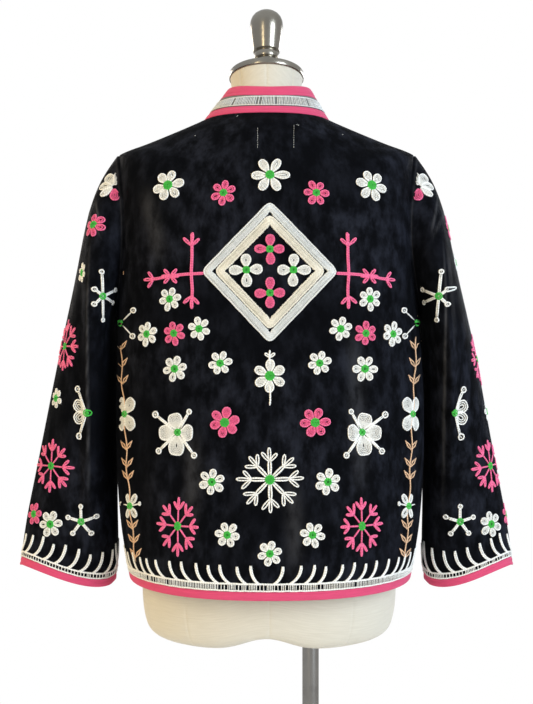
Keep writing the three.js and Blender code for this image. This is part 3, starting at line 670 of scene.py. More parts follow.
def shell(name, grid, normals, thickness, closed=False):
    """A wall of cloth about a grid of points. thickness is one value, or one for each row or point."""
    rows, columns = grid.shape[:2]
    half = np.broadcast_to(np.asarray(thickness) / 2, (rows, columns))[..., None]
    points = np.concatenate([(grid + normals * half).reshape(-1, 3), (grid - normals * half).reshape(-1, 3)])
    quads, flat = grid_faces(rows, columns, closed)
    count = rows * columns
    uv = arc_lengths(grid, closed)
    rim = []
    for row in (0, rows - 1):
        across = np.arange(columns if closed else columns - 1)
        here, there = row * columns + across, row * columns + (across + 1) % columns
        if row:
            here, there = there, here
        rim.append(np.stack([there, here, here + count, there + count], axis=1))
    if not closed:
        for column in (0, columns - 1):
            up = np.arange(rows - 1)
            here, there = up * columns + column, (up + 1) * columns + column
            if not column:
                here, there = there, here
            rim.append(np.stack([there, here, here + count, there + count], axis=1))
    rim = np.concatenate(rim)
    faces = np.concatenate([quads, quads[:, ::-1] + count, rim])
    rim_uv = np.zeros((len(rim), 4, 2))
    corner_uv = np.concatenate([uv[flat], uv[flat][:, ::-1], rim_uv])
    a, b, c = points[faces[:, 0]], points[faces[:, 1]], points[faces[:, 2]]
    if np.einsum("ij,ij->i", a, np.cross(b, c)).sum() < 0:
        faces, corner_uv = faces[:, ::-1], corner_uv[:, ::-1]
    piece = mesh_piece(name, points, np.ascontiguousarray(faces), np.ascontiguousarray(corner_uv))
    smooth_over(piece)
    return piece


def panel_grid(surface, rows, first, last, columns):
    """Points and normals over a surface between two edge angles, drawn in by half a seam at both edges."""
    share = np.linspace(0, 1, columns + 1)[None, :]
    angles = first[:, None] + (last - first)[:, None] * share
    heights = rows[:, None] + 0 * share
    grid = surface(angles, heights)
    normals = normal_of(surface, angles, heights)
    for edge, inner in ((0, 1), (-1, -2)):
        toward = grid[:, inner] - grid[:, edge]
        gap = np.linalg.norm(toward, axis=-1, keepdims=True)
        grid[:, edge] += toward / gap * np.minimum(SEAM / 2, gap / 3)
    return grid, normals


def flip(grid):
    """The same grid on the wearer's right side."""
    return grid * np.array([-1, 1, 1])


def velvet_group():
    """Crushed pile: soft dark and light patches, partly the pile's own tone and partly painted sheen, drawn
    out a little up and down, over a fine nap.
    """
    group, start, end = shader_group("crushed_velvet", ("Dark", "Light", "Highlight_colour"), ("Highlight_mask",))
    patches = noise_node(group, stretched(group, start.outputs["Vector"], (1, 1, 0.55)), 62.0, 5.0, 0.62)
    broad = noise_node(group, start.outputs["Vector"], 9.0, 2.0)
    small = ramp_node(group, patches, 0.36, 0.80)
    large = ramp_node(group, broad, 0.24, 0.66)
    lay = math_node(group, "MULTIPLY", small, large)
    pile = blend_node(group, lay, start.outputs["Dark"], start.outputs["Light"])
    # Painted highlight: the third colour laid over the pile where the mesh marks it.
    highlight_share = math_node(group, "MULTIPLY", start.outputs["Highlight_mask"], ramp_node(group, patches, 0.2, 0.6))
    highlight_marks = blend_node(group, highlight_share, pile, start.outputs["Highlight_colour"])
    rough = math_node(group, "MULTIPLY_ADD", lay, -0.22, 0.86)
    nap = noise_node(group, start.outputs["Vector"], 1700.0, 2.0)
    height = math_node(group, "MULTIPLY_ADD", patches, 0.8, math_node(group, "MULTIPLY", nap, 0.25))
    send(group, end, Color=highlight_marks, Roughness=rough, Height=height)
    return group


# The dark and light patches of the crushed pile are partly its own tone and partly painted sheen.
velvet_look = finish_with(
    "silk_velvet", velvet_group(),
    {"Dark": (0.0013, 0.0016, 0.0027, 1), "Light": (0.0150, 0.0172, 0.0265, 1),
     "Highlight_colour": (0.045, 0.046, 0.052, 1)},
    {"Sheen Weight": 0.012, "Sheen Roughness": 0.3, "Sheen Tint": (0.6, 0.65, 0.8, 1),
     "Specular IOR Level": 0.045},
    0.0010,
)


def feed(look, attribute, socket):
    """Gives a finish's group a value that the mesh carries at its points."""
    tree = look.node_tree
    value = tree.nodes.new("ShaderNodeAttribute")
    value.attribute_name = attribute
    pattern = next(node for node in tree.nodes if node.type == "GROUP")
    tree.links.new(value.outputs["Fac"], pattern.inputs[socket])


def carry(piece, attribute, values):
    """Stores a value at each point of a mesh."""
    layer = piece.data.attributes.new(attribute, "FLOAT", "POINT")
    layer.data.foreach_set("value", np.asarray(values, np.float32).ravel())


# The third velvet colour is a painted highlight, and this mesh value says where it lies.
feed(velvet_look, "painted_highlight", "Highlight_mask")


def paint_highlight_at(piece, lines, side, width, strength, also=0.0):
    """Painted highlight lines on a panel, along creases and ridges where velvet catches light. side is -1
    where the table of lines is mirrored.
    """
    points = np.empty(len(piece.data.vertices) * 3)
    piece.data.vertices.foreach_get("co", points)
    points = points.reshape(-1, 3) * np.array([side, 1, 1])
    highlight_marks = [(*line, strength, width) for line in lines]
    carry(piece, "painted_highlight", np.clip(crease_depth(points, highlight_marks) + also, 0, 1))


def finish_velvet(piece, node):
    """Velvet finish and body of one panel, with its CAD node hidden."""
    place_piece(piece, velvet_look, node)


BACK_SHINE = [
    # face, x and z where a painted highlight line starts, x and z where it ends
    (1, -0.104, 1.190, -0.114, 0.960),
    (1, 0.086, 1.060, 0.092, 0.920),
    (1, -0.030, 1.010, -0.034, 0.880),
    (1, 0.150, 1.360, 0.128, 1.250),
]
rows = body_rows(72, 40, 28)
back_open = armhole_angle(rows, ARMHOLE["back"])
back = shell("jacket_back", *panel_grid(body_point, rows, back_open, math.pi - back_open, 120), VELVET)
# Painted highlight along the back's creases.
paint_highlight_at(back, BACK_SHINE, 1, 0.009, 0.5)
finish_velvet(back, "back")

front_rows = body_rows(64, 40, 26)
front_first = front_angle(front_edge(front_rows) + BINDING_HEIGHT, front_rows)
front_last = -armhole_angle(front_rows, ARMHOLE["front"])
FRONTS = ((1, "left", body_point), (-1, "right", front_point_right))
for side, name, surface in FRONTS:
    front_grid, front_normals = panel_grid(surface, front_rows, front_first, front_last, 56)
    front = shell(f"jacket_front_{name}", front_grid, side * front_normals, VELVET)
    finish_velvet(front, f"front_{name}")

# The sleeves: each one piece of the same velvet, closed under the arm and set into the armhole by a seam that
# stands a little proud. One long pressed crease runs down each face, and short drags lie below the shoulder.
SLEEVE_COLUMNS = ("outer_x", "outer_z", "inner_x", "inner_z", "back", "front", "skew")
SLEEVE = [
    (0.1985, 1.4115, 0.199, 1.1963, 0.066, 0.062, 0),
    (0.211, 1.393, 0.201, 1.189, 0.073, 0.067, 0),
    (0.221, 1.374, 0.2015, 1.176, 0.079, 0.072, 0),
    (0.230, 1.349, 0.2015, 1.158, 0.082, 0.074, 0),
    (0.238, 1.318, 0.2015, 1.134, 0.082, 0.074, 0),
    (0.247, 1.276, 0.202, 1.104, 0.079, 0.072, 0),
    (0.258, 1.225, 0.202, 1.068, 0.075, 0.069, 0.0005),
    (0.2705, 1.168, 0.202, 1.027, 0.069, 0.064, 0.001),
    (0.283, 1.109, 0.2015, 0.985, 0.063, 0.059, 0.0015),
    (0.295, 1.050, 0.201, 0.943, 0.057, 0.054, 0.0025),
    (0.307, 0.991, 0.200, 0.904, 0.051, 0.049, 0.0035),
    (0.3185, 0.932, 0.200, 0.874, 0.046, 0.045, 0.0045),
    (0.3265, 0.877, 0.202, 0.856, 0.043, 0.042, 0.0055),
    (0.328, 0.866, 0.203, 0.8455, 0.042, 0.041, 0.0055),
]
SLEEVE_LAST = len(SLEEVE) - 1
SEAM_RISE = 0.0045
SEAM_FADE_ROWS = 5
SLEEVE_FOLDS = [
    # face, x of the fold at its top and bottom, its step and width
    (1, 0.220, 0.230, 0.009, 0.013),
    (-1, 0.222, 0.238, 0.005, 0.020),
]
FOLD_TOP, FOLD_BOTTOM = 1.370, 0.900
SLEEVE_CREASES = [
    # face, x and z where it starts, x and z where it ends, depth (a ridge where negative), half width
    (1, 0.238, 1.345, 0.206, 1.290, -0.0016, 0.0035),
    (1, 0.222, 1.352, 0.206, 1.296, -0.0012, 0.0030),
    (1, 0.222, 1.310, 0.2285, 0.925, -0.0014, 0.0028),
    (1, 0.212, 1.180, 0.214, 1.020, 0.0012, 0.006),
    (1, 0.262, 1.120, 0.284, 0.960, 0.0012, 0.009),
    (1, 0.250, 1.270, 0.262, 1.150, 0.0010, 0.008),
    (-1, 0.236, 1.330, 0.208, 1.285, -0.0014, 0.004),
    (-1, 0.224, 1.300, 0.238, 0.940, -0.0012, 0.0035),
    (-1, 0.262, 1.200, 0.280, 1.000, 0.0014, 0.009),
    (-1, 0.214, 1.150, 0.220, 0.990, 0.0012, 0.007),
]


def armhole_edge(turn):
    """Angle and row of the armhole's edge. Turn 0 is the shoulder, a quarter turn the back."""
    half = (SHOULDER_ROW - UNDERARM_ROW) / 2
    widest = np.where(np.sin(turn) >= 0, ARMHOLE["back"], ARMHOLE["front"])
    return widest * np.sin(turn), UNDERARM_ROW + half + half * np.cos(turn)


def unit(vectors):
    """Vectors of the same directions and length 1."""
    return vectors / np.linalg.norm(vectors, axis=-1, keepdims=True)


def sleeve_start(turn):
    """Where a sleeve starts: inside the armhole's edge, clear of the body's wall by a seam."""
    edge = even_body_point(*armhole_edge(turn))
    step = 0.01
    ahead, behind = even_body_point(*armhole_edge(turn + step)), even_body_point(*armhole_edge(turn - step))
    along = unit(ahead - behind)
    inward = unit(np.cross(along, normal_of(even_body_point, *armhole_edge(turn))))
    centre = even_body_point(0, (UNDERARM_ROW + SHOULDER_ROW) / 2)
    inward *= np.where(np.sum(inward * (centre - edge), axis=-1, keepdims=True) < 0, -1, 1)
    facing = unit(np.cross(along, np.array([1.0, 0, 0])))
    clearance = SEAM + VELVET / 2 * np.abs(np.sum(facing * inward, axis=-1, keepdims=True))
    return edge + inward * clearance


def sleeve_oval(turn, row):
    """Points of a sleeve's plain oval section."""
    section = section_at(SLEEVE, SLEEVE_COLUMNS, row)
    depth = np.where(np.sin(turn) >= 0, section["back"], section["front"])
    along = (1 + np.cos(turn)) / 2
    face = np.abs(np.sin(turn))
    rise = 2 * face * np.cos(turn) * ease(face, 0, 0.4)
    return np.stack([
        section["inner_x"] + (section["outer_x"] - section["inner_x"]) * along,
        depth * np.sin(turn),
        section["inner_z"] + (section["outer_z"] - section["inner_z"]) * along + section["skew"] * rise,
    ], axis=-1)


def sleeve_point(turn, row):
    """Points of a left sleeve that hangs even. Row -1 is the seam and row 0 its rise off the body."""
    turn, row = np.broadcast_arrays(np.asarray(turn, float), np.asarray(row, float))
    start = sleeve_start(turn)
    start[..., 0] += SEAM_RISE * np.clip(row + 1, 0, 1)
    down_row = np.maximum(row, 0)
    left = (1 - ease(down_row, 0, SEAM_FADE_ROWS))[..., None]
    point = sleeve_oval(turn, down_row) + (start - sleeve_oval(turn, 0 * row)) * left
    for facing, top_x, bottom_x, depth, width in SLEEVE_FOLDS:
        face = np.maximum(0, facing * np.sin(turn))
        down = (FOLD_TOP - point[..., 2]) / (FOLD_TOP - FOLD_BOTTOM)
        fold_x = top_x + (bottom_x - top_x) * down
        beyond = ease(point[..., 0] - fold_x, 0, width)
        present = ease(down, 0, 0.3) * (1 - ease(down, 0.75, 1.05))
        point[..., 1] -= facing * depth * beyond * present * np.minimum(1, face * 2)
    sunk = crease_depth(point, SLEEVE_CREASES) * (row > 0)
    point[..., 1] -= np.sign(np.sin(turn)) * sunk * np.minimum(1, 2 * np.abs(np.sin(turn)))
    return point


def sleeve_point_left(turn, row):
    """Points of the left sleeve where it hangs."""
    return settled(sleeve_point(turn, row))


def sleeve_point_right(turn, row):
    """Points of the right sleeve where it hangs."""
    return settled(flip(sleeve_point(turn, row)))


def sleeve_wall(name, side, rows, columns, thickness):
    """A ring-shaped wall of a sleeve between rows of its table."""
    surface = sleeve_point_left if side > 0 else sleeve_point_right
    turns = np.linspace(0, 2 * math.pi, columns, endpoint=False)[None, :]
    heights = np.asarray(rows)[:, None] + 0 * turns
    grid = surface(turns + 0 * heights, heights)
    normals = side * normal_of(surface, turns + 0 * heights, np.maximum(heights, -0.99))
    return shell(name, grid, normals, thickness, closed=True)


SLEEVE_TURNS = 104
sleeve_ridges = [line for *line, depth, _ in SLEEVE_CREASES if depth < 0]
sleeve_rows = np.concatenate([[-1, -0.6, -0.2, 0, 0.12], np.linspace(0.25, SLEEVE_LAST - 1, 120)])
for side, name in ((1, "left"), (-1, "right")):
    sleeve = sleeve_wall(f"jacket_sleeve_{name}", side, sleeve_rows, SLEEVE_TURNS, VELVET)
    # Painted highlight along each sleeve's raised creases and round the seam at its top.
    seam_crown = np.repeat(np.exp(-((sleeve_rows / 0.16) ** 2)), SLEEVE_TURNS)
    paint_highlight_at(sleeve, sleeve_ridges, side, 0.0014, 1.0, 0.45 * np.tile(seam_crown, 2))
    finish_velvet(sleeve, f"sleeve_{name}")

# The bindings: straight strips of pink cotton folded round every raw edge of the jacket, about a finger wide,
# plump in the middle and held down by one line of stitching near the inner edge.
PINK_THREADS = 2400.0
pink_look = finish_with(
    "pink_cotton", WEAVE,
    {"Warp": (0.66, 0.062, 0.17, 1), "Weft": (0.54, 0.045, 0.13, 1), "Threads": PINK_THREADS},
    {"Sheen Weight": 0.2, "Sheen Roughness": 0.5, "Sheen Tint": (1.0, 0.6, 0.75, 1)}, 0.0001, "UV",
)
BINDING = 0.003
BINDING_PROFILE = np.array([
    # share of the height from its free edge, share of the full thickness
    (0, 0.45), (0.04, 0.72), (0.12, 0.92), (0.3, 1.0), (0.5, 1.0), (0.66, 0.92), (0.735, 0.66), (0.77, 0.60),
    (0.805, 0.66), (0.88, 0.86), (0.95, 0.84), (1, 0.55),
])
PUCKER = {"spacing": 0.012, "depth": 0.10, "beat": 0.0171, "offset": 1.3}


def pillow(count, long_way, shares=BINDING_PROFILE):
    """Thickness over a binding's grid: its profile, with small uneven puckers along it."""
    along = np.arange(count) * long_way
    beat = np.sin(along * 2 * math.pi / PUCKER["beat"] + PUCKER["offset"])
    wobble = np.sin(along * 2 * math.pi / PUCKER["spacing"]) * beat
    swell = 1 + PUCKER["depth"] * wobble[None, :] * np.sin(np.pi * shares[:, :1])
    return BINDING * shares[:, 1:] * swell / (1 + PUCKER["depth"])


def finish_pink(piece, node):
    """Pink cotton's finish and body of one binding, with its CAD node hidden."""
    place_piece(piece, pink_look, node)


hem_top = HEM_BINDING_ROW - SEAM / (BODY[1][1] - BODY[0][1])
hem_rows = hem_top * BINDING_PROFILE[:, 0]
hem_first = front_angle(front_edge(hem_rows) + BINDING_HEIGHT, hem_rows)
hem_grid, hem_normals = panel_grid(body_point, hem_rows, hem_first, math.pi - hem_first, 420)
hem = shell("hem_edge", hem_grid, hem_normals, pillow(421, 0.0024))
finish_pink(hem, "hem_binding")

for side, name, surface in FRONTS:
    lower_rows = np.linspace(0, UNDERARM_ROW, 60, endpoint=False)
    rows = np.concatenate([lower_rows, np.linspace(UNDERARM_ROW, NECK_ROW, 73)])
    edge = front_edge(rows)
    first, last = front_angle(edge, rows), front_angle(edge + BINDING_HEIGHT, rows)
    share = BINDING_PROFILE[None, :, 0]
    angles = first[:, None] + (last - first)[:, None] * share
    heights = rows[:, None] + 0 * share
    normals = normal_of(surface, angles, heights) * side
    strip = shell(f"front_edge_{name}", surface(angles, heights), normals, pillow(len(rows), 0.0042).T)
    finish_pink(strip, f"front_binding_{name}")
    start = SLEEVE_LAST - 1 + SEAM / BINDING_HEIGHT
    cuff_rows = SLEEVE_LAST - (SLEEVE_LAST - start) * BINDING_PROFILE[:, 0]
    cuff = sleeve_wall(f"cuff_edge_{name}", side, cuff_rows, 132, pillow(132, 0.0023))
    finish_pink(cuff, f"cuff_binding_{name}")

# The collar: a low band that stands round the neck, worked all over in upright bars of white thread and
# bound in pink along its top and foot. It leans out to meet the neckline.
COLLAR_TOP = {
    "side_x": 0.0545, "side_z": 1.499, "back": 0.049, "back_z": 1.491, "front": 0.058, "front_z": 1.450,
    "power": 2.1, "sag": 0, "shift": -0.004,
}
COLLAR_FIRST = -math.pi / 2 + math.asin(FRONT_GAP["neck"] / 2 / COLLAR_TOP["front"])


def collar_point(angle, share):
    """Points of the collar at angles round it and shares of its slant height."""
    foot = section_point(dict(zip(BODY_COLUMNS, BODY[NECK_ROW])), angle)
    return foot + (section_point(COLLAR_TOP, angle) - foot) * np.asarray(share)[..., None]


def collar_strip(name, low, high, thickness, shares, columns):
    """One band of the collar between two shares of its height."""
    rows = low + (high - low) * shares
    ends = np.full(len(rows), COLLAR_FIRST)
    grid, normals = panel_grid(collar_point, rows, ends, math.pi - ends, columns)
    return shell(name, grid, normals, thickness)


collar_look = finish_with(
    "collar_thread_ground", WEAVE,
    {"Warp": (0.16, 0.17, 0.17, 1), "Weft": (0.12, 0.13, 0.13, 1), "Threads": 1100.0},
    {"Sheen Weight": 0.1, "Sheen Roughness": 0.5}, 0.0002, "UV",
)
band = collar_strip("collar_ground", 0.275, 0.655, VELVET, np.linspace(0, 1, 7), 180)
place_piece(band, collar_look, "collar_band")
upright = BINDING_PROFILE[:, 0]
foot_edge = collar_strip("collar_foot_edge", 0.02, 0.26, pillow(201, 0.0021), upright, 200)
finish_pink(foot_edge, "collar_base_binding")
flipped = BINDING_PROFILE[::-1] * np.array([-1, 1]) + np.array([1, 0])
top_edge = collar_strip("collar_top_edge", 0.67, 1.0, pillow(201, 0.0021, flipped), flipped[:, 0], 200)
finish_pink(top_edge, "collar_top_binding")

# The embroidery: rows of chain stitch worked side by side through the velvet, each row a plump cord that lies
# on the pile. Petals have a bright rim and duller rows inside it, and every flower has a green heart.
MM = 0.001
MIDDLE_LINE = -4.5
ROW = 2.3
LOOP_ROW = 1.9
RUNG_PITCH = 2.2
BAR_PITCH = 2.1
LINK_LENGTH = 0.0031
STRAND_LENGTH = 0.0006
ROW_HEIGHT = 0.0011
RAISED = 0.0006
SUNK = 0.0001
TAPER = 0.55
CREST = 0.45
LARGEST_MISS = 0.0006
FARTHEST_OFF = 0.03
ARMHOLE_CLEAR = 0.006
HEM_CLEAR = 0.01
LADDER_CLEAR = 0.0125
chance = np.random.default_rng(11)


def pairs(x, y):
    """Two rows of numbers as points."""
    return np.stack([x, y], axis=1)


def turn_by(points, angle):
    """Points turned about the origin."""
    c, s = math.cos(angle), math.sin(angle)
    return np.asarray(points, float) @ np.array([[c, s], [-s, c]])


def stroke(colour, points, width=ROW, bright=1.0, raised=0.0):
    """One row of stitches along points in millimetres of drawing."""
    points = np.asarray(points, float)
    return {"colour": colour, "points": points, "width": width, "bright": bright, "raised": raised}


def moved(strokes, by=(0, 0), angle=0.0, mirror=False, size=(1, 1)):
    """Strokes turned, mirrored left to right where asked, stretched and moved."""
    made = []
    for one in strokes:
        points = turn_by(one["points"], angle) * np.array(size, float)
        if mirror:
            points = points * np.array([-1, 1])
        made.append({**one, "points": points + np.array(by, float)})
    return made


def petal(colour, base, tip, half, waist=0.6, blunt=0.75):
    """Rows that fill a petal along x: a rim, duller rows and a slit. waist is its foot's share of width."""
    t = np.linspace(0, 2 * math.pi, 25)
    share = (1 - np.cos(t)) / 2
    side = np.sign(np.sin(t)) * np.abs(np.sin(t)) ** blunt * (waist + (1 - waist) * ease(share, 0, 0.6))
    made = []
    inset = ROW / 2
    while half - inset > 0.3 * ROW:
        x = base + inset + (tip - base - 2 * inset) * share
        outline = pairs(x, (half - inset) * side)
        made.append(stroke(colour, outline, ROW * (0.86 if made else 0.98), 0.2 if made else 1.0))
        inset += ROW * 0.97
    spare = half - inset + ROW / 2
    if spare > 0.85:
        x = np.linspace(base + inset, tip - inset * 1.1, 5)
        made.append(stroke(colour, pairs(x, 0 * x), 1.6 * spare, 0.1))
    return made


def heart(radius):
    """A green disc of rings that stands a little above the petals round it."""
    turn = np.linspace(0, 2 * math.pi, 17)
    circle = pairs(np.cos(turn), np.sin(turn))
    made = [stroke("green", [(-0.7, 0), (0.7, 0)], 2.2, 0.4, RAISED)]
    reach = radius - 1.1
    while reach > 0.8:
        made.append(stroke("green", circle * reach, 2.3, 1.0 if len(made) == 1 else 0.5, RAISED))
        reach -= 1.9
    return made


def flower(colour, radius, petals=6, angle=None, half=None, heart_radius=None):
    """A flower of petals round a green heart, no two petals quite alike."""
    angle = chance.uniform(0, 2 * math.pi) if angle is None else angle
    half = radius * (0.30 if petals == 6 else 0.33) if half is None else half
    heart_radius = max(5.3, 0.31 * radius) if heart_radius is None else heart_radius
    made = []
    for i in range(petals):
        lean = angle + 2 * math.pi * i / petals + chance.uniform(-0.06, 0.06)
        reach = radius * chance.uniform(0.95, 1.05)
        wide = half * chance.uniform(0.94, 1.06)
        made += moved(petal(colour, heart_radius * 0.7, reach, wide), angle=lean)
    return made + heart(heart_radius)


def knob(colour, length, angle, start=0.0, radius=3.7, rows=2):
    """A straight stalk of one or two rows with a round knob at its end."""
    along = np.linspace(start, length - 1.6 * radius, 5)
    made = []
    for aside in (-1.0, 1.0) if rows == 2 else (0.0,):
        made.append(stroke(colour, pairs(along, 0 * along + aside), 2.2))
    t = np.linspace(0, 2 * math.pi, 15)
    ring = pairs(length - radius + (radius - 1.1) * np.cos(t), (radius - 1.1) * np.sin(t))
    dot = np.array([[length - radius - 0.7, 0], [length - radius + 0.7, 0]])
    made += [stroke(colour, ring, 2.3), stroke(colour, dot, 2 * (radius - 2.3), 0.1)]
    return moved(made, angle=angle)


def knob_star(colour, arms):
    """A green heart with stalked knobs round it. arms gives each one's angle in degrees and its length."""
    made = []
    for degrees, length in arms:
        made += knob(colour, length, math.radians(degrees))
    return made + heart(5.2)


def leaf_loop(colour, length, half):
    """An open loop, pointed at its foot and round at its tip."""
    t = np.linspace(0, 2 * math.pi, 17)
    share = (1 - np.cos(t)) / 2
    x = (length - LOOP_ROW / 2) * share
    y = (half - LOOP_ROW / 2) * np.sin(t) * (0.55 + 0.75 * share)
    return [stroke(colour, pairs(x, y), LOOP_ROW)]


def sprout(colour, length, half, filled, spread=0.72):
    """Three leaves that spread from one point."""
    made = []
    for lean, share in ((-spread, 0.85), (spread, 0.85), (0, 1)):
        lean += chance.uniform(-0.07, 0.07)
        reach = length * share * chance.uniform(0.93, 1.07)
        leaf = petal(colour, 0, reach, half, 0.4) if filled else leaf_loop(colour, reach, half)
        made += moved(leaf, angle=lean)
    return made


def snowflake(colour, radius, fine=False, heart_radius=6.6):
    """Eight arms round a green heart. Each is a stem that parts into three leaves, finer where asked."""
    made = []
    for i in range(8):
        lean = math.pi / 2 + math.pi * i / 4 + chance.uniform(-0.04, 0.04)
        reach = radius * chance.uniform(0.95, 1.04)
        part = 0.58 * reach
        x = np.linspace(heart_radius * 0.7, part, 6)
        for side in (0,) if fine else (-1, 1):
            y = side * (1.15 + 0.75 * np.sin(math.pi * (x / part) ** 2))
            made += moved([stroke(colour, pairs(x, y), 2.4)], angle=lean)
        leaves = sprout(colour, reach - part + 1.5, 2.4 if fine else 2.8, fine)
        made += moved(moved(leaves, (part - 1.5, 0)), angle=lean)
    return made + heart(heart_radius)


def butterfly(colour):
    """Four broad petals and four stalked knobs between them, as they lie on the wearer's left."""
    made = []
    for degrees, length, radius in ((146, 41, 5.0), (60, 32, 4.0), (223, 38, 4.6), (309, 38.5, 4.5)):
        made += knob(colour, length + radius, math.radians(degrees), 6, radius)
    for degrees, length, half in ((104, 26, 11), (184, 28, 11), (-1, 22, 11.6), (265, 31.5, 12)):
        made += moved(petal(colour, 2.0, length, half, 0.3, blunt=0.5), angle=math.radians(degrees))
    return made + heart(5.2)


def half_butterfly(colour):
    """The part of a butterfly that shows beside a fold."""
    made = knob(colour, 31, math.radians(62), 4, 4.0) + knob(colour, 33, math.radians(-62), 4, 4.2)
    for degrees in (28, -26):
        made += moved(petal(colour, 1, 21, 7.5, 0.4, blunt=0.6), angle=math.radians(degrees))
    return made + heart(4.2)


def rounded_path(corners, window):
    """Points a millimetre apart along a closed polygon with its corners rounded off."""
    points = []
    corners = np.asarray(corners, float)
    for a, b in zip(corners, np.roll(corners, -1, axis=0)):
        count = int(np.linalg.norm(b - a))
        points.append(a + (b - a) * (np.arange(count) / count)[:, None])
    points = np.concatenate(points)
    wrapped = np.concatenate([points[-window:], points, points[:window]])
    weights = np.ones(window) / window
    return pairs(*(np.convolve(wrapped[:, k], weights, "same") for k in (0, 1)))[window:-window]


def rungs(colour, corners, depth):
    """A closed band of short bars laid across it. corners run round the band's outer edge."""
    made = []
    path = rounded_path(corners, 19)
    wide = rounded_path(corners, 41)
    along = unit(np.roll(wide, -2, axis=0) - np.roll(wide, 2, axis=0))
    inward = pairs(-along[:, 1], along[:, 0])
    inward *= np.sign(np.sum(inward * -path, axis=1).mean())
    steps = np.arange(len(path))
    for at in np.arange(0, len(path) - 1, RUNG_PITCH):
        here = np.array([np.interp(at, steps, path[:, k]) for k in (0, 1)])
        across = np.array([np.interp(at, steps, inward[:, k]) for k in (0, 1)])
        bar_start = here + across * chance.uniform(0.3, 1.0)
        bar_end = here + across * (depth + chance.uniform(-0.8, 0.4))
        bar = [bar_start, (bar_start + bar_end) / 2, bar_end]
        made.append(stroke(colour, bar, 2.35, chance.uniform(0.1, 0.8)))
    for share, bright in ((0.9, 1.0), (depth - 1.2, 0.7)):
        rail = (path + inward * (share + chance.uniform(-0.25, 0.25, (len(path), 1))))[::5]
        made.append(stroke(colour, np.concatenate([rail, rail[:1]]), 2.1, bright, RAISED / 3))
    return made


def tangle(colour, points, width):
    """A row through a few given points, drawn as one smooth line."""
    points = np.asarray(points, float)
    steps = 1 + int(np.linalg.norm(np.diff(points, axis=0), axis=1).sum() / 2.2)
    share = np.linspace(0, len(points) - 1, max(steps, len(points)))
    found = section_at([tuple(point) for point in points], ("x", "y"), share)
    return stroke(colour, pairs(found["x"], found["y"]), width)


def sight(point, face):
    """Where points of the cloth fall on a flat drawing at the form's middle, seen from its viewpoint."""
    near = EYE_DISTANCE / (EYE_DISTANCE - face * point[..., 1])
    return np.stack([point[..., 0] * near, (point[..., 2] - MIDDLE.z) * near], axis=-1)


def solve(miss, a, b, limit, rounds):
    """Surface parameters at which miss(a, b), a pair of distances, becomes nothing."""
    step = 0.001
    for _ in range(rounds):
        here = miss(a, b)
        by_a = (miss(a + step, b) - here) / step
        by_b = (miss(a, b + step) - here) / step
        det = by_a[..., 0] * by_b[..., 1] - by_a[..., 1] * by_b[..., 0]
        det = np.where(np.abs(det) < 1e-9, 1e-9, det)
        move_a = (here[..., 0] * by_b[..., 1] - here[..., 1] * by_b[..., 0]) / det
        move_b = (by_a[..., 0] * here[..., 1] - by_a[..., 1] * here[..., 0]) / det
        a = a - np.clip(move_a, -limit, limit)
        b = b - np.clip(move_b, -4 * limit, 4 * limit)
    return a, b


def panel(name, surface, outward, face, inside, angles, rows):
    """A piece of cloth to be stitched: its surface, which way is out, its face, its outline and its range."""
    a, b = np.meshgrid(np.linspace(*angles, 60), np.linspace(*rows, 90))
    return {"name": name, "surface": surface, "outward": outward, "face": face, "inside": inside,
            "net": (a.ravel(), b.ravel(), sight(surface(a.ravel(), b.ravel()), face))}


def cut_runs(strokes, a, b, kept):
    """Strokes with their surface parameters, cut where they leave the cloth."""
    made, at = [], 0
    for one in strokes:
        here = slice(at, at + len(one["points"]))
        at = here.stop
        keep = kept[here]
        closed = len(keep) > 3 and np.allclose(one["points"][0], one["points"][-1]) and keep.all()
        edges = np.flatnonzero(np.diff(np.concatenate([[0], keep.astype(int), [0]])))
        for first, last in zip(edges[::2], edges[1::2]):
            if last - first > 1:
                made.append({**one, "a": a[here][first:last], "b": b[here][first:last], "closed": closed})
    return made


def laid(cloth, strokes, miss, a, b, limit):
    """Strokes on a panel, from the parameters nearest to each of their points and what each misses by."""
    a, b = solve(miss, a, b, limit, 14)
    kept = cloth["inside"](a, b) & (np.linalg.norm(miss(a, b), axis=-1) < LARGEST_MISS)
    return cut_runs(strokes, a, b, kept)


def lay(cloth, motifs):
    """Strokes on a panel, from motifs placed by where they are seen and drawn flat on the cloth there."""
    surface, face = cloth["surface"], cloth["face"]
    net_a, net_b, net_seen = cloth["net"]
    flat, frames = [], []
    for (x, up), strokes in motifs:
        goal = np.array([x, up]) * MM
        nearest = np.argmin(np.sum((net_seen - goal) ** 2, axis=1))
        if np.sum((net_seen[nearest] - goal) ** 2) > FARTHEST_OFF ** 2:
            continue
        a, b = solve(lambda p, q: sight(surface(p, q), face) - goal, net_a[nearest], net_b[nearest], 0.02, 12)
        centre = surface(a, b)
        out = cloth["outward"] * normal_of(surface, a, b)
        across = unit(np.cross((0, 0, 1.0), out))
        near = (EYE_DISTANCE - face * centre[1]) / EYE_DISTANCE
        for one in strokes:
            flat.append(one)
            frames.append(np.concatenate([[a, b], centre, across, np.cross(out, across), [near]]))
    frames = np.repeat(np.array(frames), [len(one["points"]) for one in flat], axis=0)
    a, b, centre, across, upward = frames[:, 0], frames[:, 1], frames[:, 2:5], frames[:, 5:8], frames[:, 8:11]
    drawn = np.concatenate([one["points"] for one in flat]) * MM * frames[:, 11:]

    def miss(p, q):
        away = surface(p, q) - centre
        return np.stack([np.sum(away * across, axis=-1), np.sum(away * upward, axis=-1)], axis=-1) - drawn

    return laid(cloth, flat, miss, a, b, 0.12)


def lay_as_seen(cloth, strokes):
    """Strokes on a panel, from strokes drawn where they are seen."""
    surface, face = cloth["surface"], cloth["face"]
    net_a, net_b, net_seen = cloth["net"]
    goal = np.concatenate([one["points"] for one in strokes]) * MM
    nearest = np.argmin(np.sum((net_seen[None] - goal[:, None]) ** 2, axis=2), axis=1)

    def miss(p, q):
        return sight(surface(p, q), face) - goal

    return laid(cloth, strokes, miss, net_a[nearest], net_b[nearest], 0.02)


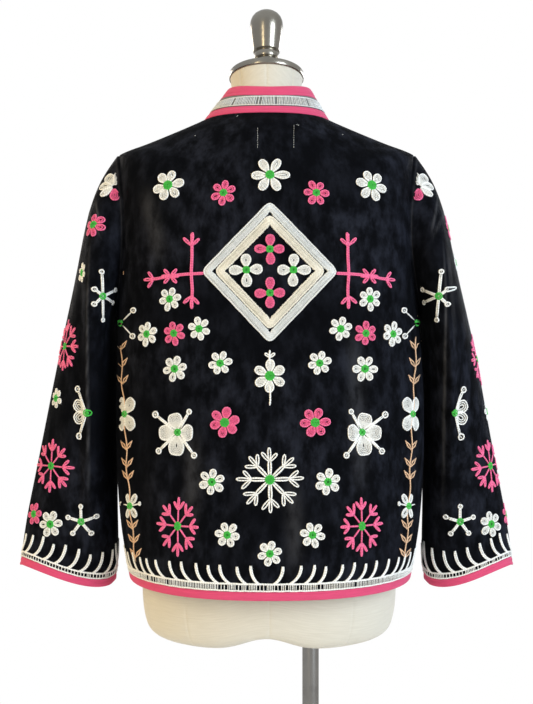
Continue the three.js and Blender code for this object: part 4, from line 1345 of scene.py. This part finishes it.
def edge_line(surface, a, b, inward):
    """A map from distances along an edge and in from it to surface parameters. inward is 1 or -1 for each."""
    line = surface(a, b)
    length = np.concatenate([[0], np.linalg.norm(np.diff(line, axis=0), axis=1).cumsum()])
    step = 0.3
    reach = np.linalg.norm(surface(a + step * inward[0], b + step * inward[1]) - line, axis=1) / step

    def place(along, across):
        scale = across / np.interp(along, length, reach)
        edge_a, edge_b = np.interp(along, length, a), np.interp(along, length, b)
        return edge_a + inward[0] * scale, edge_b + inward[1] * scale

    return place, length[-1] / MM


def along_edge(place, strokes):
    """Strokes drawn in millimetres along and in from an edge."""
    made = []
    for one in strokes:
        a, b = place(one["points"][:, 0] * MM, one["points"][:, 1] * MM)
        made.append({**one, "a": a, "b": b, "closed": False})
    return made


def ladder(length, high, slots, colour="white", rail=2.5):
    """Bars across a narrow band between two rails. slots(share) is how likely a bar is left out there."""
    made = []
    for i in range(int(length / BAR_PITCH)):
        s = (i + 0.5) * BAR_PITCH + chance.uniform(-0.2, 0.2)
        if i % 2 and chance.uniform() < slots(s / length):
            continue
        ends = [(s, 0.5), (s + chance.uniform(-0.3, 0.3), high - 0.5)]
        made.append(stroke(colour, ends, 2.25, chance.uniform(0.4, 1.0)))
    s = np.linspace(0.5, length - 0.5, int(length / 5))
    for at, width, bright in ((high - 1.1, rail, 1.0), (1.0, rail * 0.85, 0.8)):
        up = at + chance.uniform(-0.3, 0.3, len(s))
        made.append(stroke(colour, pairs(s, up), width, bright))
    return made


def sprig(s, foot, lean, tall, half=1.05):
    """A narrow curved sprig of two rows: it leaves its band at a slant, straightens and closes round."""
    t = np.concatenate([np.linspace(0, 1, 8), np.linspace(1, 0, 8)])
    side = np.where(np.arange(16) < 8, -half, half) * np.where(t > 0.99, 0.55, 1)
    x = s + lean * (1 - (1 - t) ** 2) + side
    return stroke("white", pairs(x, foot + tall * t ** 1.25), 2.2, 1.0)


def thread_mesh(name, cloth, strokes):
    """One closed mesh of plump rows that follow the cloth, four-sided, with rounded ends."""
    counts = np.array([len(one["a"]) for one in strokes])
    a = np.concatenate([one["a"] for one in strokes])
    b = np.concatenate([one["b"] for one in strokes])
    at = cloth["surface"](a, b)
    out = cloth["outward"] * normal_of(cloth["surface"], a, b)
    first = np.repeat(np.cumsum(counts) - counts, counts)
    last = np.repeat(np.cumsum(counts) - 1, counts)
    closed = np.repeat([one["closed"] for one in strokes], counts)
    here = np.arange(len(a))
    ahead = np.where(here == last, np.where(closed, first + 1, last), here + 1)
    behind = np.where(here == first, np.where(closed, last - 1, first), here - 1)
    along = unit(at[ahead] - at[behind] + 1e-12)
    side = unit(np.cross(out, along))
    half = np.repeat([one["width"] for one in strokes], counts)[:, None] * MM / 2
    raised = np.repeat([one["raised"] for one in strokes], counts)[:, None]
    at_end = ((here == first) | (here == last)) & ~closed
    narrow = np.where(at_end, TAPER, 1.0)[:, None]
    reach_out = np.where(here == first, -1.0, 1.0)[:, None] * np.where(at_end, 0.35, 0.0)[:, None] * half
    at = at + along * reach_out
    base = at + out * (VELVET / 2 - SUNK)
    tall = ROW_HEIGHT * np.clip(half / (ROW * MM / 2), 0.35, 1.15) + SUNK
    tall = tall * np.where(at_end, 0.6, 1.0)[:, None] + raised
    ring = np.stack([
        base - side * half * narrow,
        base - side * half * narrow * CREST + out * tall,
        base + side * half * narrow * CREST + out * tall,
        base + side * half * narrow,
    ], axis=1)
    points = ring.reshape(-1, 3)
    run = here[here != last]
    faces, flat_v = [], []
    v_of = (-1.0, -CREST, CREST, 1.0)
    for k in range(4):
        n = (k + 1) % 4
        faces.append(np.stack([4 * run + k, 4 * run + n, 4 * (run + 1) + n, 4 * (run + 1) + k], axis=1))
        flat_v.append(np.tile([v_of[k], v_of[n], v_of[n], v_of[k]], (len(run), 1)))
    starts, ends = np.unique(first), np.unique(last)
    faces.append(np.stack([4 * starts + 3, 4 * starts + 2, 4 * starts + 1, 4 * starts], axis=1))
    faces.append(np.stack([4 * ends, 4 * ends + 1, 4 * ends + 2, 4 * ends + 3], axis=1))
    flat_v += [np.tile([1.0, CREST, -CREST, -1.0], (len(starts), 1)), np.tile(v_of, (len(ends), 1))]
    step = np.where(here == first, 0, np.linalg.norm(at - at[np.maximum(here - 1, 0)], axis=1))
    u = np.cumsum(step) + np.repeat(chance.uniform(0, 0.01, len(strokes)), counts)
    faces = np.concatenate(faces)
    uv = np.stack([u[faces // 4], np.concatenate(flat_v)], axis=-1)
    a0, b0, c0 = points[faces[:, 0]], points[faces[:, 1]], points[faces[:, 2]]
    if np.einsum("ij,ij->i", a0 - at[0], np.cross(b0 - at[0], c0 - at[0])).sum() < 0:
        faces, uv = faces[:, ::-1], uv[:, ::-1]
    piece = mesh_piece(name, points, np.ascontiguousarray(faces), np.ascontiguousarray(uv))
    bright = np.clip([one["bright"] + chance.uniform(-0.12, 0.12) for one in strokes], 0, 1)
    carry(piece, "bright", np.repeat(np.repeat(bright, counts), 4))
    select_only(piece)
    bpy.ops.object.shade_smooth()
    return piece


def chain_group():
    """Links of chain stitch along a row: each bulges, and dark little gaps lie where one enters the next."""
    group, start, end = shader_group("chain_stitch", ("Rim", "Fill", "Shadow"), ("Bright",))
    split = group.nodes.new("ShaderNodeSeparateXYZ")
    group.links.new(start.outputs["Vector"], split.inputs["Vector"])
    skew = math_node(group, "MULTIPLY", math_node(group, "ABSOLUTE", split.outputs["Y"]), 0.3)
    links_along = math_node(group, "MULTIPLY_ADD", split.outputs["X"], 1 / LINK_LENGTH, skew)
    beat = math_node(group, "SINE", math_node(group, "MULTIPLY", links_along, math.pi))
    plump = math_node(group, "POWER", math_node(group, "ABSOLUTE", beat), 0.5)
    slant = math_node(group, "MULTIPLY", split.outputs["Y"], 2.2)
    strands = math_node(group, "MULTIPLY_ADD", split.outputs["X"], 1 / STRAND_LENGTH, slant)
    twist = math_node(group, "SINE", math_node(group, "MULTIPLY", strands, 2 * math.pi))
    fibre = math_node(group, "MULTIPLY", twist, 0.12)
    height = math_node(group, "ADD", plump, fibre)
    body = blend_node(group, start.outputs["Bright"], start.outputs["Fill"], start.outputs["Rim"])
    seen = ramp_node(group, plump, 0.05, 0.7)
    shaded = blend_node(group, seen, start.outputs["Shadow"], body)
    rough = math_node(group, "MULTIPLY_ADD", fibre, 0.5, 0.62)
    send(group, end, Color=shaded, Roughness=rough, Height=height)
    return group


CHAIN = chain_group()
THREADS = {
    # rim, fill and shadow colours, and a slot name
    "white": ((0.97, 0.97, 0.95), (0.76, 0.76, 0.73), (0.50, 0.50, 0.48), "white_thread"),
    "silver": ((0.84, 0.86, 0.86), (0.66, 0.69, 0.70), (0.44, 0.46, 0.47), "white_thread"),
    "cream": ((0.92, 0.88, 0.78), (0.78, 0.74, 0.63), (0.50, 0.47, 0.40), "white_thread"),
    "pink": ((0.92, 0.15, 0.34), (0.76, 0.08, 0.23), (0.46, 0.04, 0.13), "pink_thread"),
    "green": ((0.040, 0.52, 0.050), (0.026, 0.40, 0.036), (0.010, 0.20, 0.014), "green_thread"),
    "tan": ((0.88, 0.57, 0.36), (0.74, 0.46, 0.27), (0.42, 0.25, 0.14), "tan_thread"),
}
thread_looks = {}
for colour, (rim, fill, shadow, _) in THREADS.items():
    look = finish_with(
        f"{colour}_thread", CHAIN, {"Rim": (*rim, 1), "Fill": (*fill, 1), "Shadow": (*shadow, 1)},
        {"Sheen Weight": 0.12, "Sheen Roughness": 0.4}, 0.0004, "UV",
    )
    feed(look, "bright", "Bright")
    thread_looks[colour] = look


def stitch(cloth, strokes):
    for colour, (*_, slot) in THREADS.items():
        chosen = [one for one in strokes if one["colour"] == colour]
        if not chosen:
            continue
        piece = thread_mesh(f"{cloth['name']}_{colour}_thread", cloth, chosen)
        piece.data.materials.append(thread_looks[colour])
        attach(piece, "root")


def both_sides(x, up, strokes, drawn_for=-1):
    """A motif at a distance to each side of the design's middle line, mirrored where it isn't drawn for."""
    return [((MIDDLE_LINE + side * x, up), moved(strokes, mirror=side != drawn_for)) for side in (1, -1)]


# The back's embroidery: a framed diamond between two pink branches, flowers, snowflakes and butterflies in
# rows below it, a leafy vine down each side and two short rows of tacking at the neck.
FLOWERS = [
    # distance from the middle line, height above the eye, colour and radius, in millimetres
    (136, 223, "white", 22), (62, 213, "pink", 17.5), (133.6, 71, "white", 16.5), (164, 24, "white", 17),
    (128, 25, "pink", 16.5), (94.5, 31, "white", 16), (127, -22.5, "white", 18), (66.4, -15, "white", 16.5),
    (60.4, -94.5, "pink", 20.8), (77.4, -174, "white", 18), (56.7, -245, "white", 17.4),
]
VINE_LEFT = [
    # place across and height above the eye, in millimetres
    (199, 204), (196, 191), (190, 150), (191, 110), (194, 70), (194.5, 30), (193.5, 0),
    (192, -40), (188.5, -83), (187, -125), (185, -165), (181.5, -206), (178, -245), (173.5, -281),
]
VINE_RIGHT = [
    (-202, 204), (-200, 191), (-197, 150), (-197.5, 110), (-200, 70), (-200.5, 30), (-198.5, 0),
    (-197, -40), (-194.5, -83), (-193, -125), (-191.5, -165), (-189, -206), (-187, -245), (-184.5, -281),
]
VINE_LEAVES = (185, 174, 3, -20, -43, -131, -154, -171, -237, -256, -275)


def diamond():
    """Two nested bands of bars, with four crosswise flowers inside them."""
    outer = [(0, 96.5), (-92.4, 1.0), (0, -96.9), (92.4, 1.0)]
    inner = [(0, 79), (-75.5, 1.2), (0, -79.5), (75.5, 1.2)]
    made = rungs("silver", outer, 11.2) + rungs("cream", inner, 11.4)
    for x, up, colour, radius in ((0, 30.5, "pink", 20), (-31.5, 2.5, "white", 22.5),
                                  (31.5, 2.5, "white", 22.5), (0, -28.5, "pink", 20.5)):
        made += moved(flower(colour, radius, 4, chance.uniform(-0.08, 0.08), radius * 0.32, 5.4), (x, up))
    return made


def branch():
    """A pink branch: one arm out to three leaves, crossed by an upright with a sprout at each end."""
    made = []
    for arm, across in (([(-46, 3), (-20, 2), (0, 0), (18, -2.5), (30, -3.2)], (0, 1.0)),
                        ([(-29, 56), (-30, 28), (-29.5, 3), (-31, -20), (-30, -42)], (1.0, 0))):
        for side in (1, -1):
            made.append(tangle("pink", np.array(arm, float) + side * np.array(across), 2.2))
    for length, foot, quarters in ((17, (25, -3.2), 0), (18, (-29, 40), 1), (17, (-30, -27), -1)):
        made += moved(sprout("pink", length, 2.6, True, 0.8), foot, quarters * math.pi / 2)
    for degrees in (45, 135, 225, 315, 0, 180):
        made += moved(petal("pink", 0, 13.5, 2.7, 0.5), angle=math.radians(degrees))
    return made


def stemmed():
    """The flower on the middle line: six petals, a stem above it and a short tail below."""
    made = [tangle("white", [(0, 34), (-0.6, 26), (0, 14)], 2.6)]
    made.append(tangle("white", [(0, -12), (0.5, -30), (0, -39)], 2.4))
    for lean in (0.9, -0.9):
        made += moved(leaf_loop("white", 9, 2.4), (0, 25), math.pi / 2 + lean)
    return made + flower("white", 22, 6, math.pi / 6)


def back_motifs():
    """The back's motifs by where they are seen."""
    made = [((MIDDLE_LINE, 237), flower("white", 26, 6, 0, 6.4, 6.4))]
    for x, up, colour, radius in FLOWERS:
        for side in (1, -1):
            made.append(((MIDDLE_LINE + side * x, up), flower(colour, radius)))
    middle = [(107.5, diamond()), (-32, stemmed()), (-171, snowflake("white", 45))]
    middle.append((-270, flower("white", 17.4)))
    made += [((MIDDLE_LINE, up), strokes) for up, strokes in middle]
    made += both_sides(133, 101.5, branch())
    made += both_sides(123, -107.5, butterfly("white"), 1)
    made += both_sides(122.8, -233, moved(snowflake("pink", 39.4, True, heart_radius=6.2), size=(0.8, 1)))
    return made


def vine(line):
    """A thin stem that wavers down the side, with pairs of leaves, a star and two crosswise flowers."""
    line = np.array(line, float)
    ups = np.arange(line[0, 1], line[-1, 1], -4.0)

    def across(up):
        return np.interp(-up, -line[:, 1], line[:, 0])

    stem = pairs(across(ups) + 1.2 * np.sin(ups / 9), ups)
    made = [stroke("tan", stem, 2.1, 0.8)]
    for up in VINE_LEAVES:
        x = across(up)
        for side in (1, -1):
            for bow in (0, 2.4):
                leaf = [(x, up), (x + side * (4.6 - bow), up + 4.6 + bow), (x + side * 7.4, up + 12)]
                made.append(stroke("tan", leaf, 2.2, 0.9))
    side = np.sign(line[0, 0])
    for up, kind in ((39, "star"), (-83, "broad"), (-206, "crossed")):
        x = across(up)
        if kind == "star":
            for rise in (17, -19):
                made += moved(knob("white", 28, math.atan2(rise, -side * 17), 0, 4.2, 1), (x, up))
            made += moved(heart(5.0), (x, up), size=(0.7, 1))
            continue
        length, half = (25.5, 9.4) if kind == "broad" else (19, 5.2)
        for degrees in (54, 126, 234, 306):
            outer = side * math.cos(math.radians(degrees)) > 0
            leaf = moved(petal("white", 1, length, half, 0.4, blunt=0.6), angle=math.radians(degrees))
            made += moved(leaf, (x, up), size=(0.42 if outer else 0.72, 1))
        if kind == "crossed":
            for degrees in (8, 172):
                made += moved(knob("white", 24, math.radians(degrees), 0, 3.2, 1), (x, up), size=(0.6, 1))
        made += moved(heart(5.0), (x, up), size=(0.7, 1))
    return made


def shoulder(side):
    """The flower that lies by the armhole's seam near the shoulder, on one side."""
    made = []
    for degrees, length, half in ((104, 29, 8.5), (58, 28, 8), (14, 24, 7.5), (322, 22, 6.5)):
        made += moved(petal("white", 2, length, half, 0.45), angle=math.radians(degrees))
    made += moved(petal("pink", 3, 22, 7, 0.5), angle=math.radians(258))
    return [((side * 204, 221), moved(made, mirror=side > 0))]


def tacking():
    """Two short rows of loose pale stitches below the neck, and a few specks of lint."""
    made = []
    for x, top, bottom in ((11.8, 299.5, 273.5), (-36.4, 302.8, 274.7)):
        for up in np.arange(top, bottom, -3.1):
            lean = chance.uniform(-0.3, 0.3)
            made.append(stroke("white", [(x, up), (x + lean, up - 1.5)], 0.9, 0.5))
    for x, up in ((39.5, 315), (95.8, 288.8), (-101.2, 290), (-39.5, 303.5), (-42, 302.8)):
        made.append(stroke("white", [(x, up), (x - 1.2, up + 0.6)], 0.9, 0.4))
    return made


def back_inside(a, b):
    """Whether points lie on the back and clear of its edges."""
    armhole = armhole_angle(b, ARMHOLE["back"]) + ARMHOLE_CLEAR
    on_height = (b > HEM_BINDING_ROW + HEM_CLEAR) & (b < NECK_ROW - 0.1)
    return (a > armhole) & (a < math.pi - armhole) & on_height


back_cloth = panel("back", body_point, 1, 1, back_inside, (0.001, math.pi - 0.001), (0.2, 10.9))
seen_sides = lay_as_seen(back_cloth, vine(VINE_LEFT) + vine(VINE_RIGHT) + tacking())
stitch(back_cloth, lay(back_cloth, back_motifs()) + seen_sides)

# The fronts' embroidery: flowers, a snowflake, a butterfly and a vine on each, much as on the back.
FRONT_FLOWERS = [
    (72, 196, "pink", 17), (128, 214, "white", 21), (58, 118, "white", 17), (112, 142, "pink", 20),
    (152, 92, "white", 18), (62, 38, "pink", 17), (104, 66, "white", 17), (158, 20, "white", 17),
    (64, -112, "white", 18), (112, -66, "pink", 18), (150, -110, "white", 19), (62, -236, "white", 18),
    (104, -262, "pink", 16), (150, -182, "white", 16),
]


def front_inside(a, b):
    """Whether points lie on a front and clear of its edges and its ladder."""
    edge = front_angle(front_edge(b) + BINDING_HEIGHT + LADDER_CLEAR, b)
    armhole = armhole_angle(b, ARMHOLE["front"]) + ARMHOLE_CLEAR
    on_height = (b > HEM_BINDING_ROW + HEM_CLEAR) & (b < NECK_ROW - 0.15)
    return (a > edge) & (a < -armhole) & on_height


for side, name, surface in FRONTS:
    cloth = panel(f"front_{name}", surface, side, -1, front_inside, (-math.pi / 2, -0.001), (0.2, 10.8))
    motifs = [((side * x, up), flower(colour, radius)) for x, up, colour, radius in FRONT_FLOWERS]
    motifs.append(((side * 98, 4), snowflake("white", 34)))
    motifs.append(((side * 112, -192), moved(butterfly("white"), mirror=side < 0)))
    seen = lay_as_seen(cloth, vine(VINE_LEFT if side > 0 else VINE_RIGHT))
    edge_rows = np.linspace(0.28, NECK_ROW - 0.1, 160)
    edge_at = front_angle(front_edge(edge_rows) + BINDING_HEIGHT + 0.0004, edge_rows)
    place, length = edge_line(surface, edge_at, edge_rows, (1, 0))
    bars = ladder(length, 9.5, lambda share: 0.45)
    bars += [sprig(s, 8.5, 6, 16) for s in np.arange(24, length - 30, 17.0)]
    stitch(cloth, lay(cloth, motifs) + seen + along_edge(place, bars))

# The sleeves' embroidery: stars, flowers, half butterflies and pink snowflakes on both faces, some of them
# folded over the outer edge, and a band of bars with sprigs above each cuff.
SLEEVE_SHIFT = MIDDLE_LINE - 1
SLEEVE_FLOWERS = [
    (237, 170, "pink", 17), (251, 106, "white", 14), (286, -62, "white", 14), (316, -217, "pink", 15),
    (294.5, -230.5, "white", 18),
]
STAR_ARMS = ((85, 36), (160, 30), (200, 30), (263, 36), (38, 17), (-48, 19))
CUFF_STAR_ARMS = ((90, 24), (162, 23), (234, 24), (306, 23), (18, 22))
SEAM_CLEAR = 0.15
CUFF_CLEAR = 1.18


def sleeve_inside(a, b):
    """Whether points lie on a sleeve and clear of its seam and its band of bars."""
    return (b > SEAM_CLEAR) & (b < SLEEVE_LAST - CUFF_CLEAR)


for side, name in ((1, "left"), (-1, "right")):
    surface = sleeve_point_left if side > 0 else sleeve_point_right
    for face, word, first in ((1, "back", 0.0), (-1, "front", math.pi)):
        cloth = panel(
            f"sleeve_{name}_{word}", surface, -side, face, sleeve_inside,
            (first + 0.001, first + math.pi - 0.001), (0.1, SLEEVE_LAST - 1.1),
        )
        mirror = side * face > 0
        placed = [(x, up, flower(colour, radius)) for x, up, colour, radius in SLEEVE_FLOWERS]
        placed.append((225.6, 75, moved(knob_star("white", STAR_ARMS), mirror=mirror)))
        placed.append((274, 7.5, snowflake("pink", 35, True, heart_radius=5.4)))
        placed.append((246, -81.5, moved(half_butterfly("white"), mirror=mirror, size=(1.2, 1.3))))
        placed.append((293, -152.5, snowflake("pink", 36, True, heart_radius=5.4)))
        placed.append((253.6, -227, moved(knob_star("white", CUFF_STAR_ARMS), mirror=mirror)))
        motifs = [((side * x + SLEEVE_SHIFT, up), strokes) for x, up, strokes in placed]
        stitch(cloth, lay(cloth, motifs + (shoulder(side) if face > 0 else [])))
    turns = np.linspace(0, 2 * math.pi, 181)
    place, length = edge_line(surface, turns, 0 * turns + SLEEVE_LAST - 1 - 0.004, (0, -1))
    bars = ladder(length, 8.2, lambda share: 0.85)
    for s in np.arange(8, length - 6, 16.6):
        lean = 13 if s < length / 2 else -13
        bars.append(sprig(s + chance.uniform(-1, 1), 7, lean, chance.uniform(18, 22)))
    cloth = {"name": f"cuff_{name}", "surface": surface, "outward": -side}
    stitch(cloth, along_edge(place, bars))

# The bands of bars above the hem and round the collar, worked over the seams they cross.
HEM_BAND_EDGE = 0.046
hem_start = front_angle(HEM_BAND_EDGE, np.array(0.3))
hem_turns = np.linspace(hem_start, math.pi - hem_start, 500)
place, length = edge_line(body_point, hem_turns, 0 * hem_turns + HEM_BINDING_ROW + 0.004, (0, 1))


def hem_slots(share):
    """Bars are left out mostly near the middle of the back, in uneven groups."""
    return 0.08 + 0.6 * (abs(share - 0.5) < 0.075) * (math.sin(share * 260) > -0.3)


bars = ladder(length, 10.6, hem_slots)
for side, start in ((-1, 11), (1, 3)):
    for out in np.arange(start, length / 2 - 12, 16.8):
        foot = length / 2 + side * out + chance.uniform(-1.5, 1.5)
        slant = side * chance.uniform(11, 16)
        bars.append(sprig(foot, 9, slant, chance.uniform(18, 21), 0.95))
stitch({"name": "hem_band", "surface": body_point, "outward": 1}, along_edge(place, bars))

collar_start = COLLAR_FIRST + 0.02
collar_turns = np.linspace(collar_start, math.pi - collar_start, 240)
place, length = edge_line(collar_point, collar_turns, 0 * collar_turns + 0.28, (0, 1))
bars = ladder(length, 15.2, lambda share: 0.14, "silver", 1.6)
stitch({"name": "collar_band_bars", "surface": collar_point, "outward": 1}, along_edge(place, bars))
